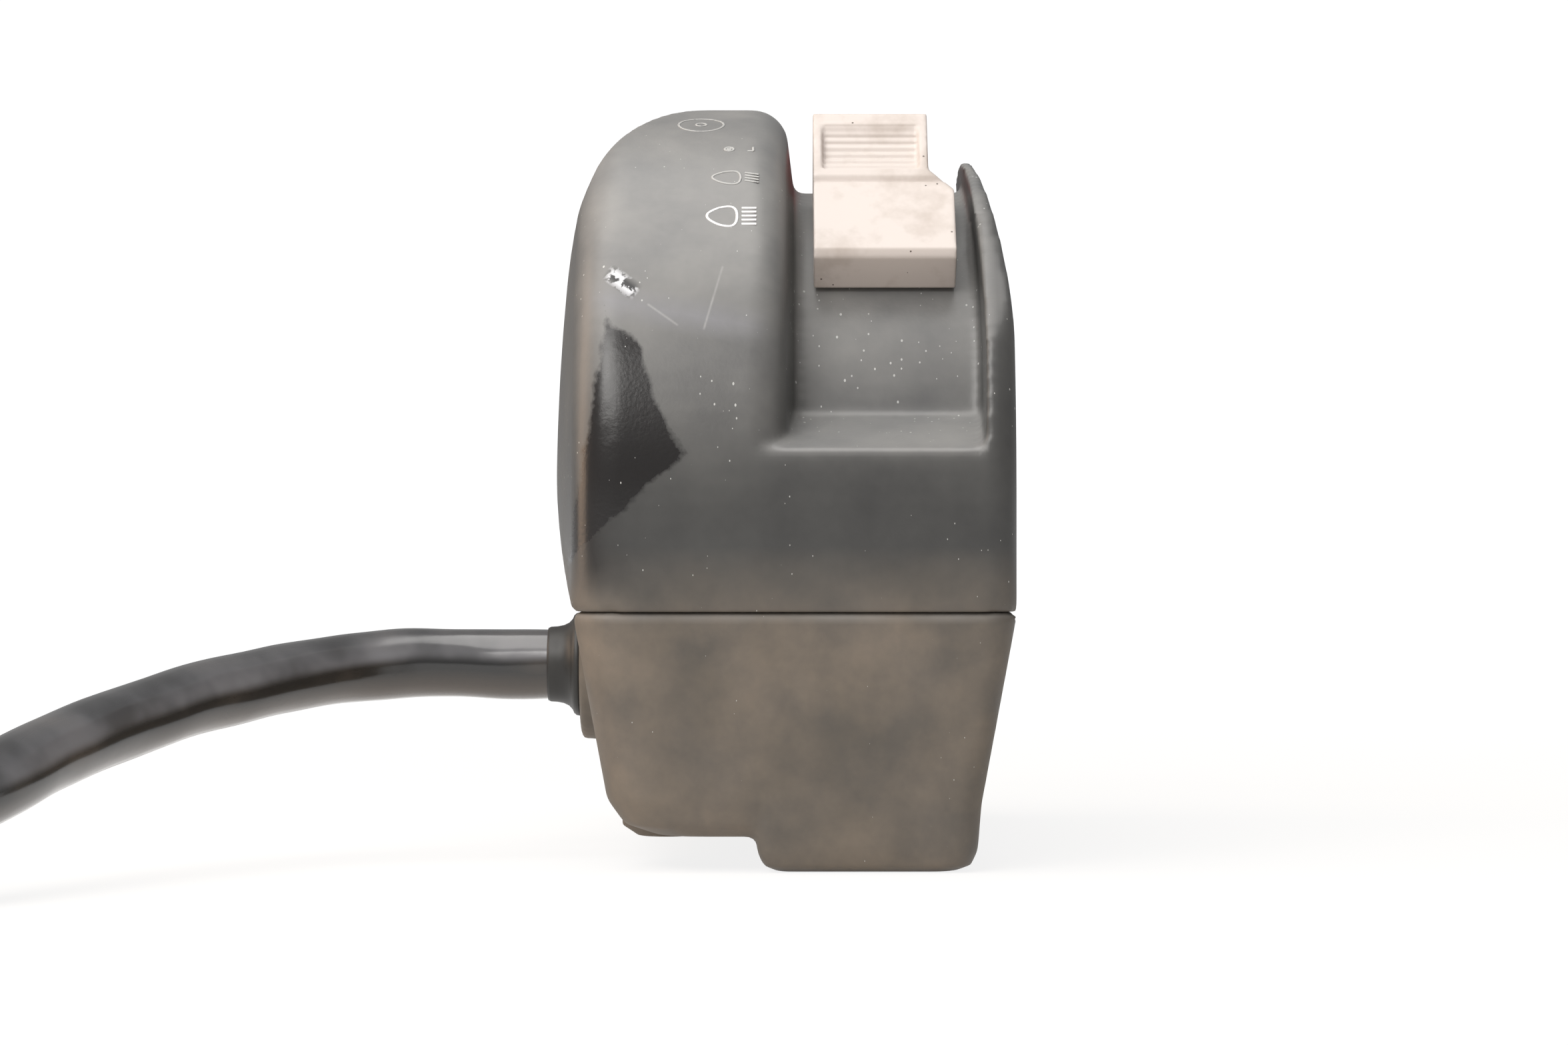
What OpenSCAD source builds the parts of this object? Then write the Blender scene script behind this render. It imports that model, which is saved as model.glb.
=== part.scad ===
// Handlebar switch cluster: two plastic halves clamped round the bar, with a lights slide, an engine-stop
// slide and a start button in a thumb channel, and a sleeved lead.
// X runs along the bar towards the grip, Z towards the rider, and -Y towards the sky.
// The origin is at the bar's centre, on the plane where the two halves meet.

/* [Handlebar] */
// Diameter of the bar that the housing clamps
bar_d = 22.2; // [21:0.1:24]
// Radial gap between the bar and its saddle
bar_gap = 0.05; // [0:0.01:0.2]
// Wall of the half-round saddle
saddle_wall = 2.2; // [1.6:0.1:2.3]

/* [Rear housing] */
// Reach of the housing towards the lead, where its end is widest
body_left = 23.2; // [22.6:0.1:24]
// Reach of the housing towards the grip
body_right = 20.8; // [20.2:0.1:22]
// Radius of the drum
drum_r = 39.6; // [38:0.1:42]
// Height of the drum's axis above the parting plane
drum_z = 10; // [8:0.5:12]
// Wall of both halves
wall = 2.4; // [2:0.1:2.8]
// Corner between the left end and the drum
left_corner_r = 4.5; // [3.5:0.5:5.5]
// Radius of the left end's dome, seen from the rider's side
dome_r = 220; // [180:5:300]
// Radius of the left end's bow, seen from the sky side
bow_r = 60; // [56:1:70]
// Height at which the left end is widest
bow_z = 19; // [18:0.5:20]
// Corner between the right face and the drum
right_corner_r = 2.4; // [1:0.2:2.8]
// Rounding of the left shoulder on the rider's side
shoulder_r = 13; // [11:0.5:15]

/* [Thumb channel] */
// Left wall of the channel, at its floor
channel_left = 0.4; // [-0.4:0.1:0.8]
// Slope of that wall over the channel's depth
channel_draft = 1; // [0.4:0.1:1.4]
// Right wall of the channel, where it is widest
channel_right = 18; // [17.6:0.1:18.2]
// Depth of the channel's floor below the drum
channel_depth = 8.3; // [7.6:0.1:9]
// Rounding of the shoulder's edge along the channel
channel_edge_r = 3.6; // [2:0.2:4]
// Height of the sloping end shelf where it leaves the drum
shelf_z = 14.9; // [14:0.1:17]
// Slope of the end shelf
shelf_angle = 20; // [10:1:30]
// Height of the flat seat round the start button
start_seat_z = 27; // [25:0.5:28]
// Height of the flange's rim on the rider's side
flange_top_z = 44.3; // [43:0.1:46]

/* [Front cover] */
// Depth of the cover below the parting plane
cover_depth = 20.8; // [19:0.1:24]
// Depth of the stepped foot
foot_depth = 24; // [23:0.1:28]
// Left end of the foot
foot_left = -3.1; // [-6:0.1:0]
// Inward lean of the cover's ends
cover_lean = 3.1; // [2:0.1:4]
// Inward lean of the cover's long faces
cover_draft = 1.2; // [0.5:0.1:2.5]
// Groove that shows along the parting line
reveal = 0.4; // [0.2:0.1:0.8]

/* [Clamp screws] */
// Place of both screws along the bar
screw_x = -11.6; // [-12:0.1:-10.6]
// Distance of each screw from the drum's side
screw_inset = 11.6; // [11:0.1:12.4]
// Thread diameter
screw_d = 5; // [4:0.5:5]
// Head diameter
screw_head_d = 8.4; // [8:0.1:9]

/* [Slides] */
// Angle of the lights slide's middle about the drum's axis, from the sky side
lights_mid = 55; // [54:0.5:56]
// Angle of the engine-stop slide's middle
stop_mid = 104; // [103:0.5:105]
// Left side of both knobs
knob_left = 2.2; // [1.8:0.1:3]
// Right side of the lights knob at its foot
lights_right = 15.7; // [14:0.1:16.5]
// Right side of the lights knob's thumb tab
lights_tab_right = 13.3; // [12:0.1:14]
// Gap between a knob and the channel's floor
knob_gap = 0.45; // [0.3:0.05:0.8]
// Height of the lights knob's front lip above the channel's floor
lights_lip_h = 4.8; // [4.4:0.1:5.2]
// Height of the lights knob's thumb tab
lights_tab_h = 9.1; // [8.6:0.1:9.6]
// Height of the engine-stop knob's ends
stop_lip_h = 4.1; // [3.6:0.1:4.6]
// Height of the engine-stop knob's ridge
stop_ridge_h = 7; // [6.4:0.1:7.6]
// Diameter of the detent balls
ball_d = 3; // [2.5:0.1:3.2]
// Height of the sliding carriers
carrier_h = 6.6; // [6:0.1:7]
// Gap at the sliding and contact faces
run_gap = 0.3; // [0.25:0.05:0.4]
// Thickness of the contact plates
base_h = 3.4; // [3:0.1:3.8]
// Diameter of the contact plates' screws
base_screw_d = 2.5; // [2.2:0.1:2.8]

/* [Start button] */
// Place of the button along the bar
start_x = 9.2; // [9:0.1:9.4]
// Distance of the button from the drum's far side
start_inset = 12.6; // [12.2:0.1:13]
// Diameter of the button
start_d = 11.9; // [11:0.1:12.2]
// Height of the button's crown
start_top_z = 32.5; // [31:0.1:34]
// Travel of the button
start_travel = 2.5; // [1.5:0.1:2.8]

/* [Lead] */
// Outside diameter of the sleeve
cable_d = 6.6; // [6:0.1:7]
// Diameter of the wires inside
wire_d = 1.8; // [1.2:0.1:2.2]
// Radius of the coil at its outer end
coil_out_r = 37; // [36:0.5:40]
// Radius of the coil at its inner end
coil_in_r = 29; // [27:0.5:30]
// Rise from the coil's lower layer to its upper layer
coil_rise = 7.8; // [7.4:0.1:9]

/* [Hidden] */

black = "#4a4b4b";
beige = "#c8b9ad";
red = "#b3261e";
brass = "#c9a24a";
steel = "#b9bcc0";
phenolic = "#6b4a32";
rubber = "#262626";
yellow = "#d8a820";

$fn = 72;
reach = 60;
eps = 0.01;
// Rounding circles stand proud by this much, so that they cross the faces that they round
proud = 0.02;

// The bar and its saddle
bore_r = bar_d / 2 + bar_gap;
saddle_r = bore_r + saddle_wall;
body_w = body_left + body_right;

// Inside of the rear housing
floor_r = drum_r - channel_depth;
ceiling_r = floor_r - wall;
inner_left = -body_left + wall;
inner_right = body_right - wall;
inner_drum_r = drum_r - wall;
channel_wall = channel_left - channel_draft - wall;
// The bowed left end draws in to this reach at the parting plane
parting_left = body_left - bow_r + sqrt(bow_r * bow_r - bow_z * bow_z);
// Slope of the channel's left wall, and the centre of its rounded edge
channel_slope = atan(channel_draft / channel_depth);
edge_mid_r = drum_r - channel_edge_r + proud;
edge_mid_x = channel_wall_x(edge_mid_r) - (channel_edge_r - proud) / cos(channel_slope);
function channel_wall_x(r) = channel_left - (r - floor_r) * tan(channel_slope);
// The flange's rim is an arc through its top and through its foot on the drum
flange_foot_y = drum_r - 3;
flange_foot_z = drum_z + sqrt(drum_r * drum_r - flange_foot_y * flange_foot_y);
flange_rise = flange_top_z - flange_foot_z;
flange_arc_r = (flange_foot_y * flange_foot_y + flange_rise * flange_rise) / (2 * flange_rise);
// The flange's outer and inner faces lean in on large arcs
lean_r = 100;
lean_z = 20;
lean_bulge = 0.15;
lean_x = body_right + lean_bulge - lean_r;
flange_inner_r = 200;
flange_inner_z = 24;

// Screw bosses
screw_y = drum_r - screw_inset;
boss_r = 5.6;
cover_boss_r = 6;
head_h = 3.4;
head_proud = 0.4;
insert_r = 3.4;
insert_h = 12;
screw_clear = 0.25;

// Slides: angles are about the drum's axis
lights_step = 8.2;
stop_step = 8;
stem_half = 3;
carrier_half = 8;
knob_r = floor_r + knob_gap;
carrier_top_r = ceiling_r - run_gap;
carrier_r = carrier_top_r - carrier_h;
stem_left = 7.4;
stem_right = 11;
stem_gap = 0.1;
stem_foot_r = carrier_r + 3;
slot_gap = 0.3;
slot_play = 0.8;
detent_x = 5;
detent_floor_r = carrier_r + 0.8;
ball_r = carrier_top_r - ball_d / 2 + 0.6;
track_r = ball_r + ball_d / 2 + run_gap;
track_half = ball_d / 2 + 0.2;
detent_hole_r = ball_d / 2 + 0.1;
carrier_left = 3;
carrier_right = 15;
bridge_h = 0.7;
bridge_half = 4;
bridge_left = 8;
bridge_right = 13;
contact_h = 0.6;
rail_w = 1.4;
pad_w = 1.6;
pad_half = 2.4;
bridge_r = carrier_r - bridge_h;
contact_r = bridge_r - run_gap;
base_top_r = contact_r - contact_h;
base_r = base_top_r - base_h;
base_left = 2.5;
base_right = 15.5;
post_left = 5;
post_right = 13;
post_angle = 5;
post_gap = 1;
lights_post_lo = lights_mid - carrier_half - lights_step - post_gap - 1.8 - post_angle;
lights_post_hi = lights_mid + carrier_half + lights_step + post_gap + 1.8;
stop_post_lo = stop_mid - carrier_half - stop_step - post_gap - post_angle;
stop_post_hi = stop_mid + carrier_half + stop_step + post_gap;
base_head_d = base_screw_d + 2.1;
base_head_h = 1.6;
base_clear = 0.3;
seat_gap = 0.03;
post_mid = (post_left + post_right) / 2;
// Angle of each post and the place of its screw; the two posts side by side have theirs apart
screw_shift = 2.4;
lights_posts = [[lights_post_lo, post_mid], [lights_post_hi, post_mid - screw_shift]];
stop_posts = [[stop_post_lo, post_mid + screw_shift], [stop_post_hi, post_mid]];

// Start button
start_y = drum_r - start_inset;
well_gap = 0.1;
well_r = start_d / 2 + well_gap;
well_wall = 2.1;
well_floor_z = 17;
well_floor_h = 2.6;
stem_r = 2.1;
cap_z = 24;
contact_disc_z = 11.5;
contact_disc_h = 0.6;
clip_h = 0.7;
disc_r = 4.5;
start_contact_z = contact_disc_z - start_travel - run_gap;
start_post_z = start_contact_z - 0.4;
clip_z = well_floor_z - well_floor_h - run_gap - clip_h;
clip_in_r = 1.5;
clip_out_r = 3.6;
start_ear_x = start_x - well_r - well_wall - 2;
start_ear_r = 2.7;
stud_r = 1.5;
stud_spread = 2.6;

// Lead: the sleeve leaves the cover's left end beside the bar
cable_y = -17;
cable_z = -5.5;
cable_r = cable_d / 2;
floor_z = -foot_depth;
seat_proud = 0.05;
seat_x = -parting_left - seat_proud;
grommet_r = 5.6;
grommet_neck_r = 4.8;
seat_r = 7.2;
seat_depth = 3.6;
collar_h = 1.8;
clip_x = -12;
clip_w = 4;
clip_strap = 0.9;
clip_tab = 9;
clip_drop = 6.6;
clip_rib_drop = 11;
clip_rib_w = 2.5;
clip_gap = 0.3;
clip_head_d = base_screw_d + 1.5;
clip_head_h = 1.4;
sheath_end_x = -9;
coil_lift = 1.2;
coil_z = floor_z + cable_r + coil_lift;
coil_x = -115;
coil_y = -61;
coil_start = -54;
connector_w = 20;
connector_l = 26;
connector_h = 14;
collar_l = 4;
collar_wall = 2;
block_y = 3;
cell_pitch = 5.4;
cell_w = 3.2;
cell_depth = 17;
lock_y = 7;
lock_l = 8;
lock_h = 2;
lock_t = 0.8;

// One layer winds in, half a turn climbs, and the next layer winds out
layer_turns = 1;
climb_turns = 0.5;
function coil_radius(turn) =
    turn < layer_turns ? coil_out_r - (coil_out_r - coil_in_r) * turn / layer_turns :
    turn < layer_turns + climb_turns ? coil_in_r :
    coil_in_r + (coil_out_r - coil_in_r) * (turn - layer_turns - climb_turns) / layer_turns;
function coil_climb(turn) = min(max((turn - layer_turns) / climb_turns, 0), 1);
function coil_height(turn) = coil_z + coil_rise * (1 - cos(180 * coil_climb(turn))) / 2;
function coil_point(turn) =
    let (angle = coil_start - 360 * turn, r = coil_radius(turn))
    [coil_x + r * cos(angle), coil_y + r * sin(angle), coil_height(turn)];
coil_turns = 2 * layer_turns + climb_turns;
coil_rings = 24;
coil_in_way = unit(coil_point(0.01) - coil_point(0));
coil_out_way = unit(coil_point(coil_turns) - coil_point(coil_turns - 0.01));
coil_entry = coil_point(0) - cable_d * coil_in_way;
coil_exit = coil_point(coil_turns) + cable_d * coil_out_way;
coil_points = concat([coil_entry],
                     [for (i = [0 : coil_turns * coil_rings]) coil_point(i / coil_rings)],
                     [coil_exit]);

// The sleeve's points from inside the cover to the coil, and from the coil to the connector
sheath_points = concat([for (x = [sheath_end_x, -18, -27]) [x, cable_y, cable_z]],
                       [[-32.5, -17.5, -5.4], [-38.5, -19.5, -5.4], [-45, -24.5, -6], [-51.5, -32.5, -7.2],
                        [-57.5, -41.5, -8.9], [-63, -52, -11.1], [-67, -62.5, -13.4], [-71.3, -71, -15.9],
                        [-76.5, -78, -18.2]],
                       [coil_entry - cable_d * coil_in_way, coil_entry]);
connector_x = -112;
connector_y = 12.5;
connector_z = floor_z + 7.5;
tail_points = concat([coil_exit, coil_exit + cable_d * coil_out_way],
                     [[-120.2, -18.4, -12.8], [-115.9, -12.2, -14.2], [-113.2, -5, -15.7]],
                     [[-112.2, 1, -16.4], [connector_x, connector_y - cable_d, connector_z],
                      [connector_x, connector_y, connector_z]]);

// Points of the wires from the sleeve's end to the edge of each contact plate
plate_mid_r = (base_r + base_top_r) / 2;
plate_run = 1.5;
function plate_end(angle, back) = concat([base_left - back], drum_point(plate_mid_r, angle));
ear_end = [start_ear_x - 2.4, start_y - 2.6, start_post_z - base_h / 2];
wire_routes = [
    [[-9, -18.2, -5], [-7, -18.2, -5], [-4.5, -18.4, -3], [-4, -18.4, 3], [-4, -17.5, 11], [-3, -14, 18],
     [-1, -11.6, 23], plate_end(lights_mid - 2, plate_run), plate_end(lights_mid - 2, 0)],
    [[-9, -17, -7], [-6, -17, -7], [-2, -17, -4], [-1, -17, 3], [-1.5, -15.6, 11], [-2, -9, 18],
     [-1.5, 0, 24], [0, 4, 27.6], plate_end(stop_mid, plate_run), plate_end(stop_mid, 0)],
    [[-9, -15.9, -5], [-8, -15.9, -5], [-7, -16, -2], [-7, -16, 3], [-7, -14.5, 11], [-7, -8, 16.6],
     [-7, 2, 18], [-6.6, 11, 16], [-6.4, 18, 11], [-6, 21, 7], ear_end - [1.6, 1.9, 0], ear_end]];

function unit(v) = v / norm(v);

// Directions along a line of points, and one steady sideways direction carried along it
function ways(p) = [for (i = [0 : len(p) - 1]) unit(p[min(i + 1, len(p) - 1)] - p[max(i - 1, 0)])];
function sides(way, i, last) =
    i == len(way) ? [] :
    let (now = unit(last - (last * way[i]) * way[i]))
    concat([now], sides(way, i + 1, now));

// A tube of the given radius along a line of points
module tube(points, r, edges) {
    way = ways(points);
    start = abs(way[0][2]) < 0.9 ? [0, 0, 1] : [1, 0, 0];
    side = sides(way, 0, start);
    rings = [for (i = [0 : len(points) - 1]) for (j = [0 : edges - 1])
             let (a = 360 * j / edges)
             points[i] + r * (cos(a) * side[i] + sin(a) * cross(way[i], side[i]))];
    last = (len(points) - 1) * edges;
    skin = [for (i = [0 : len(points) - 2]) for (j = [0 : edges - 1])
            let (a = i * edges + j, b = i * edges + (j + 1) % edges)
            each [[a, a + edges, b], [b, a + edges, b + edges]]];
    ends = [for (j = [1 : edges - 2]) each [[0, j, j + 1], [last, last + j + 1, last + j]]];
    polyhedron(rings, concat(skin, ends));
}

// Points of a spring that stands on Z
function spring_points(r, from, to, curls) =
    [for (i = [0 : curls * 8]) [r * cos(45 * i), r * sin(45 * i), from + (to - from) * i / (curls * 8)]];

// Turns a shape about the drum's axis: the child is a profile of radius against X
module about_drum(from, to) {
    translate([0, 0, drum_z])
        rotate([0, -90, 0])
            rotate([0, 0, from - 90])
                rotate_extrude(angle = to - from)
                    mirror([0, 1])
                        children();
}

module arc_block(from, to, r_in, r_out, left, right) {
    about_drum(from, to)
        translate([r_in, left])
            square([r_out - r_in, right - left]);
}

// Stands a shape on the drum at an angle, with its Z outwards
module on_drum(angle, x, r) {
    translate([x, 0, drum_z])
        rotate([90 - angle, 0, 0])
            translate([0, 0, r])
                children();
}

// Side view (Y, Z) carried along X
module along_x(left, right) {
    translate([left, 0, 0])
        rotate([90, 0, 90])
            linear_extrude(right - left)
                children();
}

// Front view (X, Z) carried along Y
module along_y(from, to) {
    translate([0, to, 0])
        rotate([90, 0, 0])
            linear_extrude(to - from)
                children();
}

function drum_point(r, angle) = [-r * cos(angle), drum_z + r * sin(angle)];

// What a corner of radius r loses, in the first quadrant of the corner's centre
module corner_waste(r) {
    difference() {
        square([r + 1, r + 1]);
        circle(r = r);
    }
}

// What lies right of a bowed left face, with a rounded corner between the bow and a top edge
module bowed_end(left, bow, bow_mid, top, corner_r) {
    mid = [left + bow, bow_mid];
    corner_x = mid[0] - sqrt(pow(bow - corner_r, 2) - pow(top - corner_r - bow_mid, 2));
    corner = [corner_x, top - corner_r];
    out = unit(corner - mid);
    past = corner + (corner_r + 1) * out;
    intersection() {
        translate(mid) circle(r = bow, $fn = 360);
        union() {
            translate(corner + proud * out) circle(r = corner_r);
            translate([corner_x, -2 * reach]) square(10 * reach);
            polygon([[mid[0], -2 * reach], mid, corner, past, [-2 * reach, -2 * reach]]);
        }
    }
}

// The domed end seen from the rider's side, and the bowed end seen from the sky side, inset by a wall
module plan_end(inset) {
    bowed_end(-body_left + inset, dome_r - inset, 0, drum_r - inset, left_corner_r - inset);
}

module front_end(inset) {
    bowed_end(-body_left + inset, bow_r - inset, bow_z, drum_z + drum_r - inset, shoulder_r - inset);
}

// Front view of both ends: the bow on the left, and the flange's lean on the right
module front_outline(inset) {
    intersection() {
        front_end(inset);
        union() {
            translate([lean_x, lean_z]) circle(r = lean_r - inset, $fn = 180);
            translate([-reach, -reach]) square([2 * reach, reach + lean_z]);
        }
    }
}

// Half section of the drum, with its radius along the first axis
module drum_outline() {
    intersection() {
        mirror([1, -1]) plan_end(0);
        difference() {
            translate([0, -body_left]) square([drum_r, body_w]);
            translate([drum_r - right_corner_r, body_right - right_corner_r]) corner_waste(right_corner_r);
        }
    }
}

// Half section of the cavity: full depth up to the given x, and under the channel's floor beyond it
module cavity_outline(deep_to) {
    intersection() {
        mirror([1, -1]) plan_end(wall);
        translate([0, inner_left]) {
            square([ceiling_r, inner_right - inner_left]);
            square([inner_drum_r, deep_to - inner_left]);
        }
    }
}

// Lays a half section in plan, on both sides of the bar
module in_plan() {
    for (side = [0, 1])
        mirror([0, side]) mirror([1, -1]) children();
}

// The channel's section, from the floor outwards, with the shoulder's edge rounded
module channel_outline() {
    past_r = drum_r + 2;
    edge_mid = [edge_mid_r, edge_mid_x];
    edge_foot = [edge_mid_r, channel_wall_x(edge_mid_r)];
    polygon([[floor_r, channel_left], [past_r, channel_wall_x(past_r)],
             [past_r, channel_right + 1], [floor_r, channel_right + 1]]);
    difference() {
        polygon([edge_mid, edge_foot, [past_r, channel_right], [past_r, edge_mid_x]]);
        translate(edge_mid) circle(r = channel_edge_r);
    }
}

module thumb_channel() {
    slope = tan(shelf_angle);
    foot_y = -sqrt(drum_r * drum_r - (shelf_z - drum_z) * (shelf_z - drum_z));
    intersection() {
        about_drum(-5, 185) channel_outline();
        along_x(-body_left, body_right + 5)
            polygon([[-reach, shelf_z - (reach + foot_y) * slope], [0, shelf_z - foot_y * slope],
                     [0, start_seat_z], [reach, start_seat_z], [reach, 2 * reach], [-reach, 2 * reach]]);
        along_y(-reach, reach)
            translate([channel_right - flange_inner_r, flange_inner_z])
                circle(r = flange_inner_r, $fn = 360);
    }
}

// The drum, its skirt, the channel and the flange's trimmed rim
module rear_outside() {
    difference() {
        intersection() {
            union() {
                about_drum(0, 180) drum_outline();
                linear_extrude(drum_z) in_plan() drum_outline();
            }
            along_y(-reach, reach) front_outline(0);
        }
        thumb_channel();
        along_x(channel_right - 2, body_right + 2)
            difference() {
                translate([-reach, flange_foot_z - 2]) square([2 * reach, reach]);
                translate([0, flange_top_z - flange_arc_r]) circle(r = flange_arc_r, $fn = 180);
            }
    }
}

module rear_cavity() {
    intersection() {
        union() {
            about_drum(0, 180) cavity_outline(channel_wall);
            translate([0, 0, -1]) linear_extrude(drum_z + 1) in_plan() cavity_outline(inner_right);
        }
        along_y(-reach, reach) front_outline(wall);
    }
}

module saddle(from_z, to_z) {
    intersection() {
        translate([-body_left, 0, 0]) rotate([0, 90, 0]) cylinder(r = saddle_r, h = body_w);
        translate([-reach, -reach, from_z]) cube([2 * reach, 2 * reach, to_z - from_z]);
    }
}

module bar_bore() {
    translate([-reach, 0, 0]) rotate([0, 90, 0]) cylinder(r = bore_r, h = 2 * reach);
}

module at_screws() {
    for (side = [-1, 1])
        translate([screw_x, side * screw_y, 0]) children();
}

// Bosses that stand in the rear cavity: saddle, screw bosses, contact-plate posts and the button's well
module rear_bosses() {
    saddle(-1, saddle_r + 1);
    translate([0, 0, -1]) at_screws() cylinder(r = boss_r, h = reach);
    for (from = [lights_post_lo, lights_post_hi, stop_post_lo, stop_post_hi])
        arc_block(from, from + post_angle, base_top_r + seat_gap, floor_r, post_left, post_right);
    translate([start_x, start_y, start_post_z]) cylinder(r = well_r + well_wall, h = reach);
    translate([start_ear_x, start_y, start_post_z]) cylinder(r = start_ear_r, h = reach);
}

module slide_cuts(mid, step) {
    play = step + slot_play;
    arc_block(mid - stem_half - play, mid + stem_half + play, ceiling_r - 1, floor_r + 1,
              stem_left - slot_gap, stem_right + slot_gap);
    arc_block(mid - step - 4, mid + step + 4, ceiling_r - 1, track_r,
              detent_x - track_half, detent_x + track_half);
}

module base_screw_holes(posts) {
    for (post = posts)
        on_drum(post[0] + post_angle / 2, post[1], base_top_r - 1)
            cylinder(d = base_screw_d + 2 * seat_gap, h = 7);
}

module rear_housing() {
    color(black)
        difference() {
            rear_outside();
            difference() {
                rear_cavity();
                rear_bosses();
            }
            bar_bore();
            translate([0, 0, -1]) at_screws() cylinder(r = insert_r + seat_gap, h = insert_h + 1);
            slide_cuts(lights_mid, lights_step);
            slide_cuts(stop_mid, stop_step);
            base_screw_holes(lights_posts);
            base_screw_holes(stop_posts);
            translate([start_x, start_y, 0]) {
                translate([0, 0, well_floor_z]) cylinder(r = well_r, h = reach);
                cylinder(r = stem_r + 0.2, h = well_floor_z + 1);
                cylinder(r = well_r, h = well_floor_z - well_floor_h);
            }
            translate([start_ear_x, start_y, 0]) cylinder(d = base_screw_d, h = start_post_z + 7);
        }
}

// A thin slab of the cover's outline: x from left to right, half depth, corner radii, at height z
slab = 0.02;
foot_root = 4;
foot_corner_r = 1;
module cover_slab(left, right, half, left_r, right_r, z) {
    $fn = 36;
    for (side = [-1, 1]) {
        translate([left + left_r, side * (half - left_r), z - slab]) cylinder(r = left_r, h = slab);
        translate([right - right_r, side * (half - right_r), z - slab]) cylinder(r = right_r, h = slab);
    }
}

// The tapered cover, inset all round by the given amount: each step of its rounded bottom edge is
// [height above the bottom, draw-in at the left, at the right, at the long faces]
cover_steps = [[3.4, 0, 0, 0], [1.1, 1.6, 0.8, 0.6], [0, 4.6, 2, 2]];
module cover_taper(inset, top) {
    left = -parting_left + inset;
    right = body_right - inset;
    half = drum_r - inset;
    left_r = left_corner_r - inset;
    right_r = max(right_corner_r - inset, 0.6);
    hull() {
        cover_slab(left, right, half, left_r, right_r, top);
        for (step = cover_steps)
            cover_slab(left + cover_lean + step[1], right - cover_lean - step[2],
                       half - cover_draft - step[3], left_r, right_r, inset - cover_depth + step[0] + slab);
    }
}

// The foot, stepped down from the cover, in the same way
foot_steps = [[2, 0, 0.4, 0.2], [0.6, 0.6, 1, 0.6], [0, 2, 2.4, 1.8]];
module cover_foot() {
    right = body_right - cover_lean;
    half = drum_r - cover_draft;
    hull() {
        cover_slab(foot_left, right, half, foot_corner_r, right_corner_r, -cover_depth + foot_root);
        for (step = foot_steps)
            cover_slab(foot_left + step[1], right - step[2], half - step[3], foot_corner_r, right_corner_r,
                       -foot_depth + step[0] + slab);
    }
}

module cover_bosses() {
    difference() {
        union() {
            saddle(-saddle_r - 1, 1);
            translate([0, 0, -reach]) at_screws() cylinder(r = cover_boss_r, h = reach + 1);
        }
        clip_room();
    }
    grommet_seat();
    clip_rib();
}

// Room for the lead's clip and its screw, beside the saddle and the screw boss
module clip_room() {
    translate([seat_x + seat_depth, cable_y, cable_z])
        rotate([0, 90, 0])
            cylinder(r = cable_r + clip_strap + clip_gap, h = sheath_end_x - seat_x - seat_depth);
    at_clip_screw() translate([0, 0, -5]) cylinder(d = clip_head_d + 2 * clip_gap, h = 5);
}

// Flat round seat for the grommet, cut off at the parting line
module grommet_seat() {
    intersection() {
        translate([seat_x, cable_y, cable_z]) rotate([0, 90, 0]) cylinder(r = seat_r, h = seat_depth);
        translate([-reach, -reach, -reach - reveal]) cube([2 * reach, 2 * reach, reach]);
    }
}

// Rib that carries the lead's clip
module clip_rib() {
    translate([clip_x - clip_w / 2, cable_y + clip_strap + 0.1, -cover_depth])
        cube([clip_w, clip_rib_w, cover_depth - clip_rib_drop]);
}

// Stands a shape at the clip's screw, with its Z towards the bar
module at_clip_screw() {
    translate([clip_x, cable_y, cable_z - clip_drop]) rotate([-90, 0, 0]) children();
}

// Hollow of the foot, under the saddle
module foot_pocket() {
    pocket_w = body_right - cover_lean - foot_left - 3 * wall;
    pocket_l = 2 * drum_r - 4 * wall;
    translate([foot_left + wall, -pocket_l / 2, -foot_depth + wall])
        cube([pocket_w, pocket_l, foot_depth - saddle_r - wall - 1]);
}

lip_inset = 0.5;
module front_cover() {
    color(black)
        difference() {
            union() {
                cover_taper(0, -reveal);
                cover_foot();
                intersection() {
                    translate([-reach, -reach, -reveal - 1]) cube([2 * reach, 2 * reach, reveal + 1]);
                    cover_taper(lip_inset, 0);
                }
                grommet_seat();
            }
            difference() {
                cover_taper(wall, 1);
                cover_bosses();
            }
            foot_pocket();
            bar_bore();
            translate([0, 0, -reach]) at_screws() cylinder(d = screw_d + 2 * screw_clear, h = 2 * reach);
            translate([0, 0, -cover_depth - head_proud - 5])
                at_screws() cylinder(d = screw_head_d + 2 * screw_clear, h = head_h + 5);
            translate([seat_x - 1, cable_y, cable_z])
                rotate([0, 90, 0]) cylinder(r = grommet_neck_r, h = seat_depth + 2);
            translate([seat_x + seat_depth, cable_y, cable_z])
                rotate([0, 90, 0]) cylinder(r = grommet_r, h = collar_h + 1);
            at_clip_screw() cylinder(d = base_screw_d, h = 5);
        }
}

// Pan-head screws, heads a little proud of the cover
module clamp_screws() {
    shank_top = insert_h - 1;
    head_z = -cover_depth - head_proud;
    color(steel)
        at_screws()
            difference() {
                union() {
                    translate([0, 0, head_z + 1]) cylinder(d = screw_head_d, h = head_h - 1);
                    translate([0, 0, head_z]) cylinder(d1 = screw_head_d - 3, d2 = screw_head_d, h = 1);
                    translate([0, 0, head_z + head_h])
                        cylinder(d = screw_d, h = shank_top - head_z - head_h);
                }
                for (turn = [0, 90])
                    rotate(turn) translate([-2.2, -0.6, head_z - 1]) cube([4.4, 1.2, 2.4]);
            }
}

// Threaded brass inserts, a press fit in the rear bosses
module screw_inserts() {
    color(brass)
        at_screws()
            difference() {
                cylinder(r = insert_r, h = insert_h);
                translate([0, 0, -1]) cylinder(d = screw_d + 0.1, h = insert_h + 2);
            }
}

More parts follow.
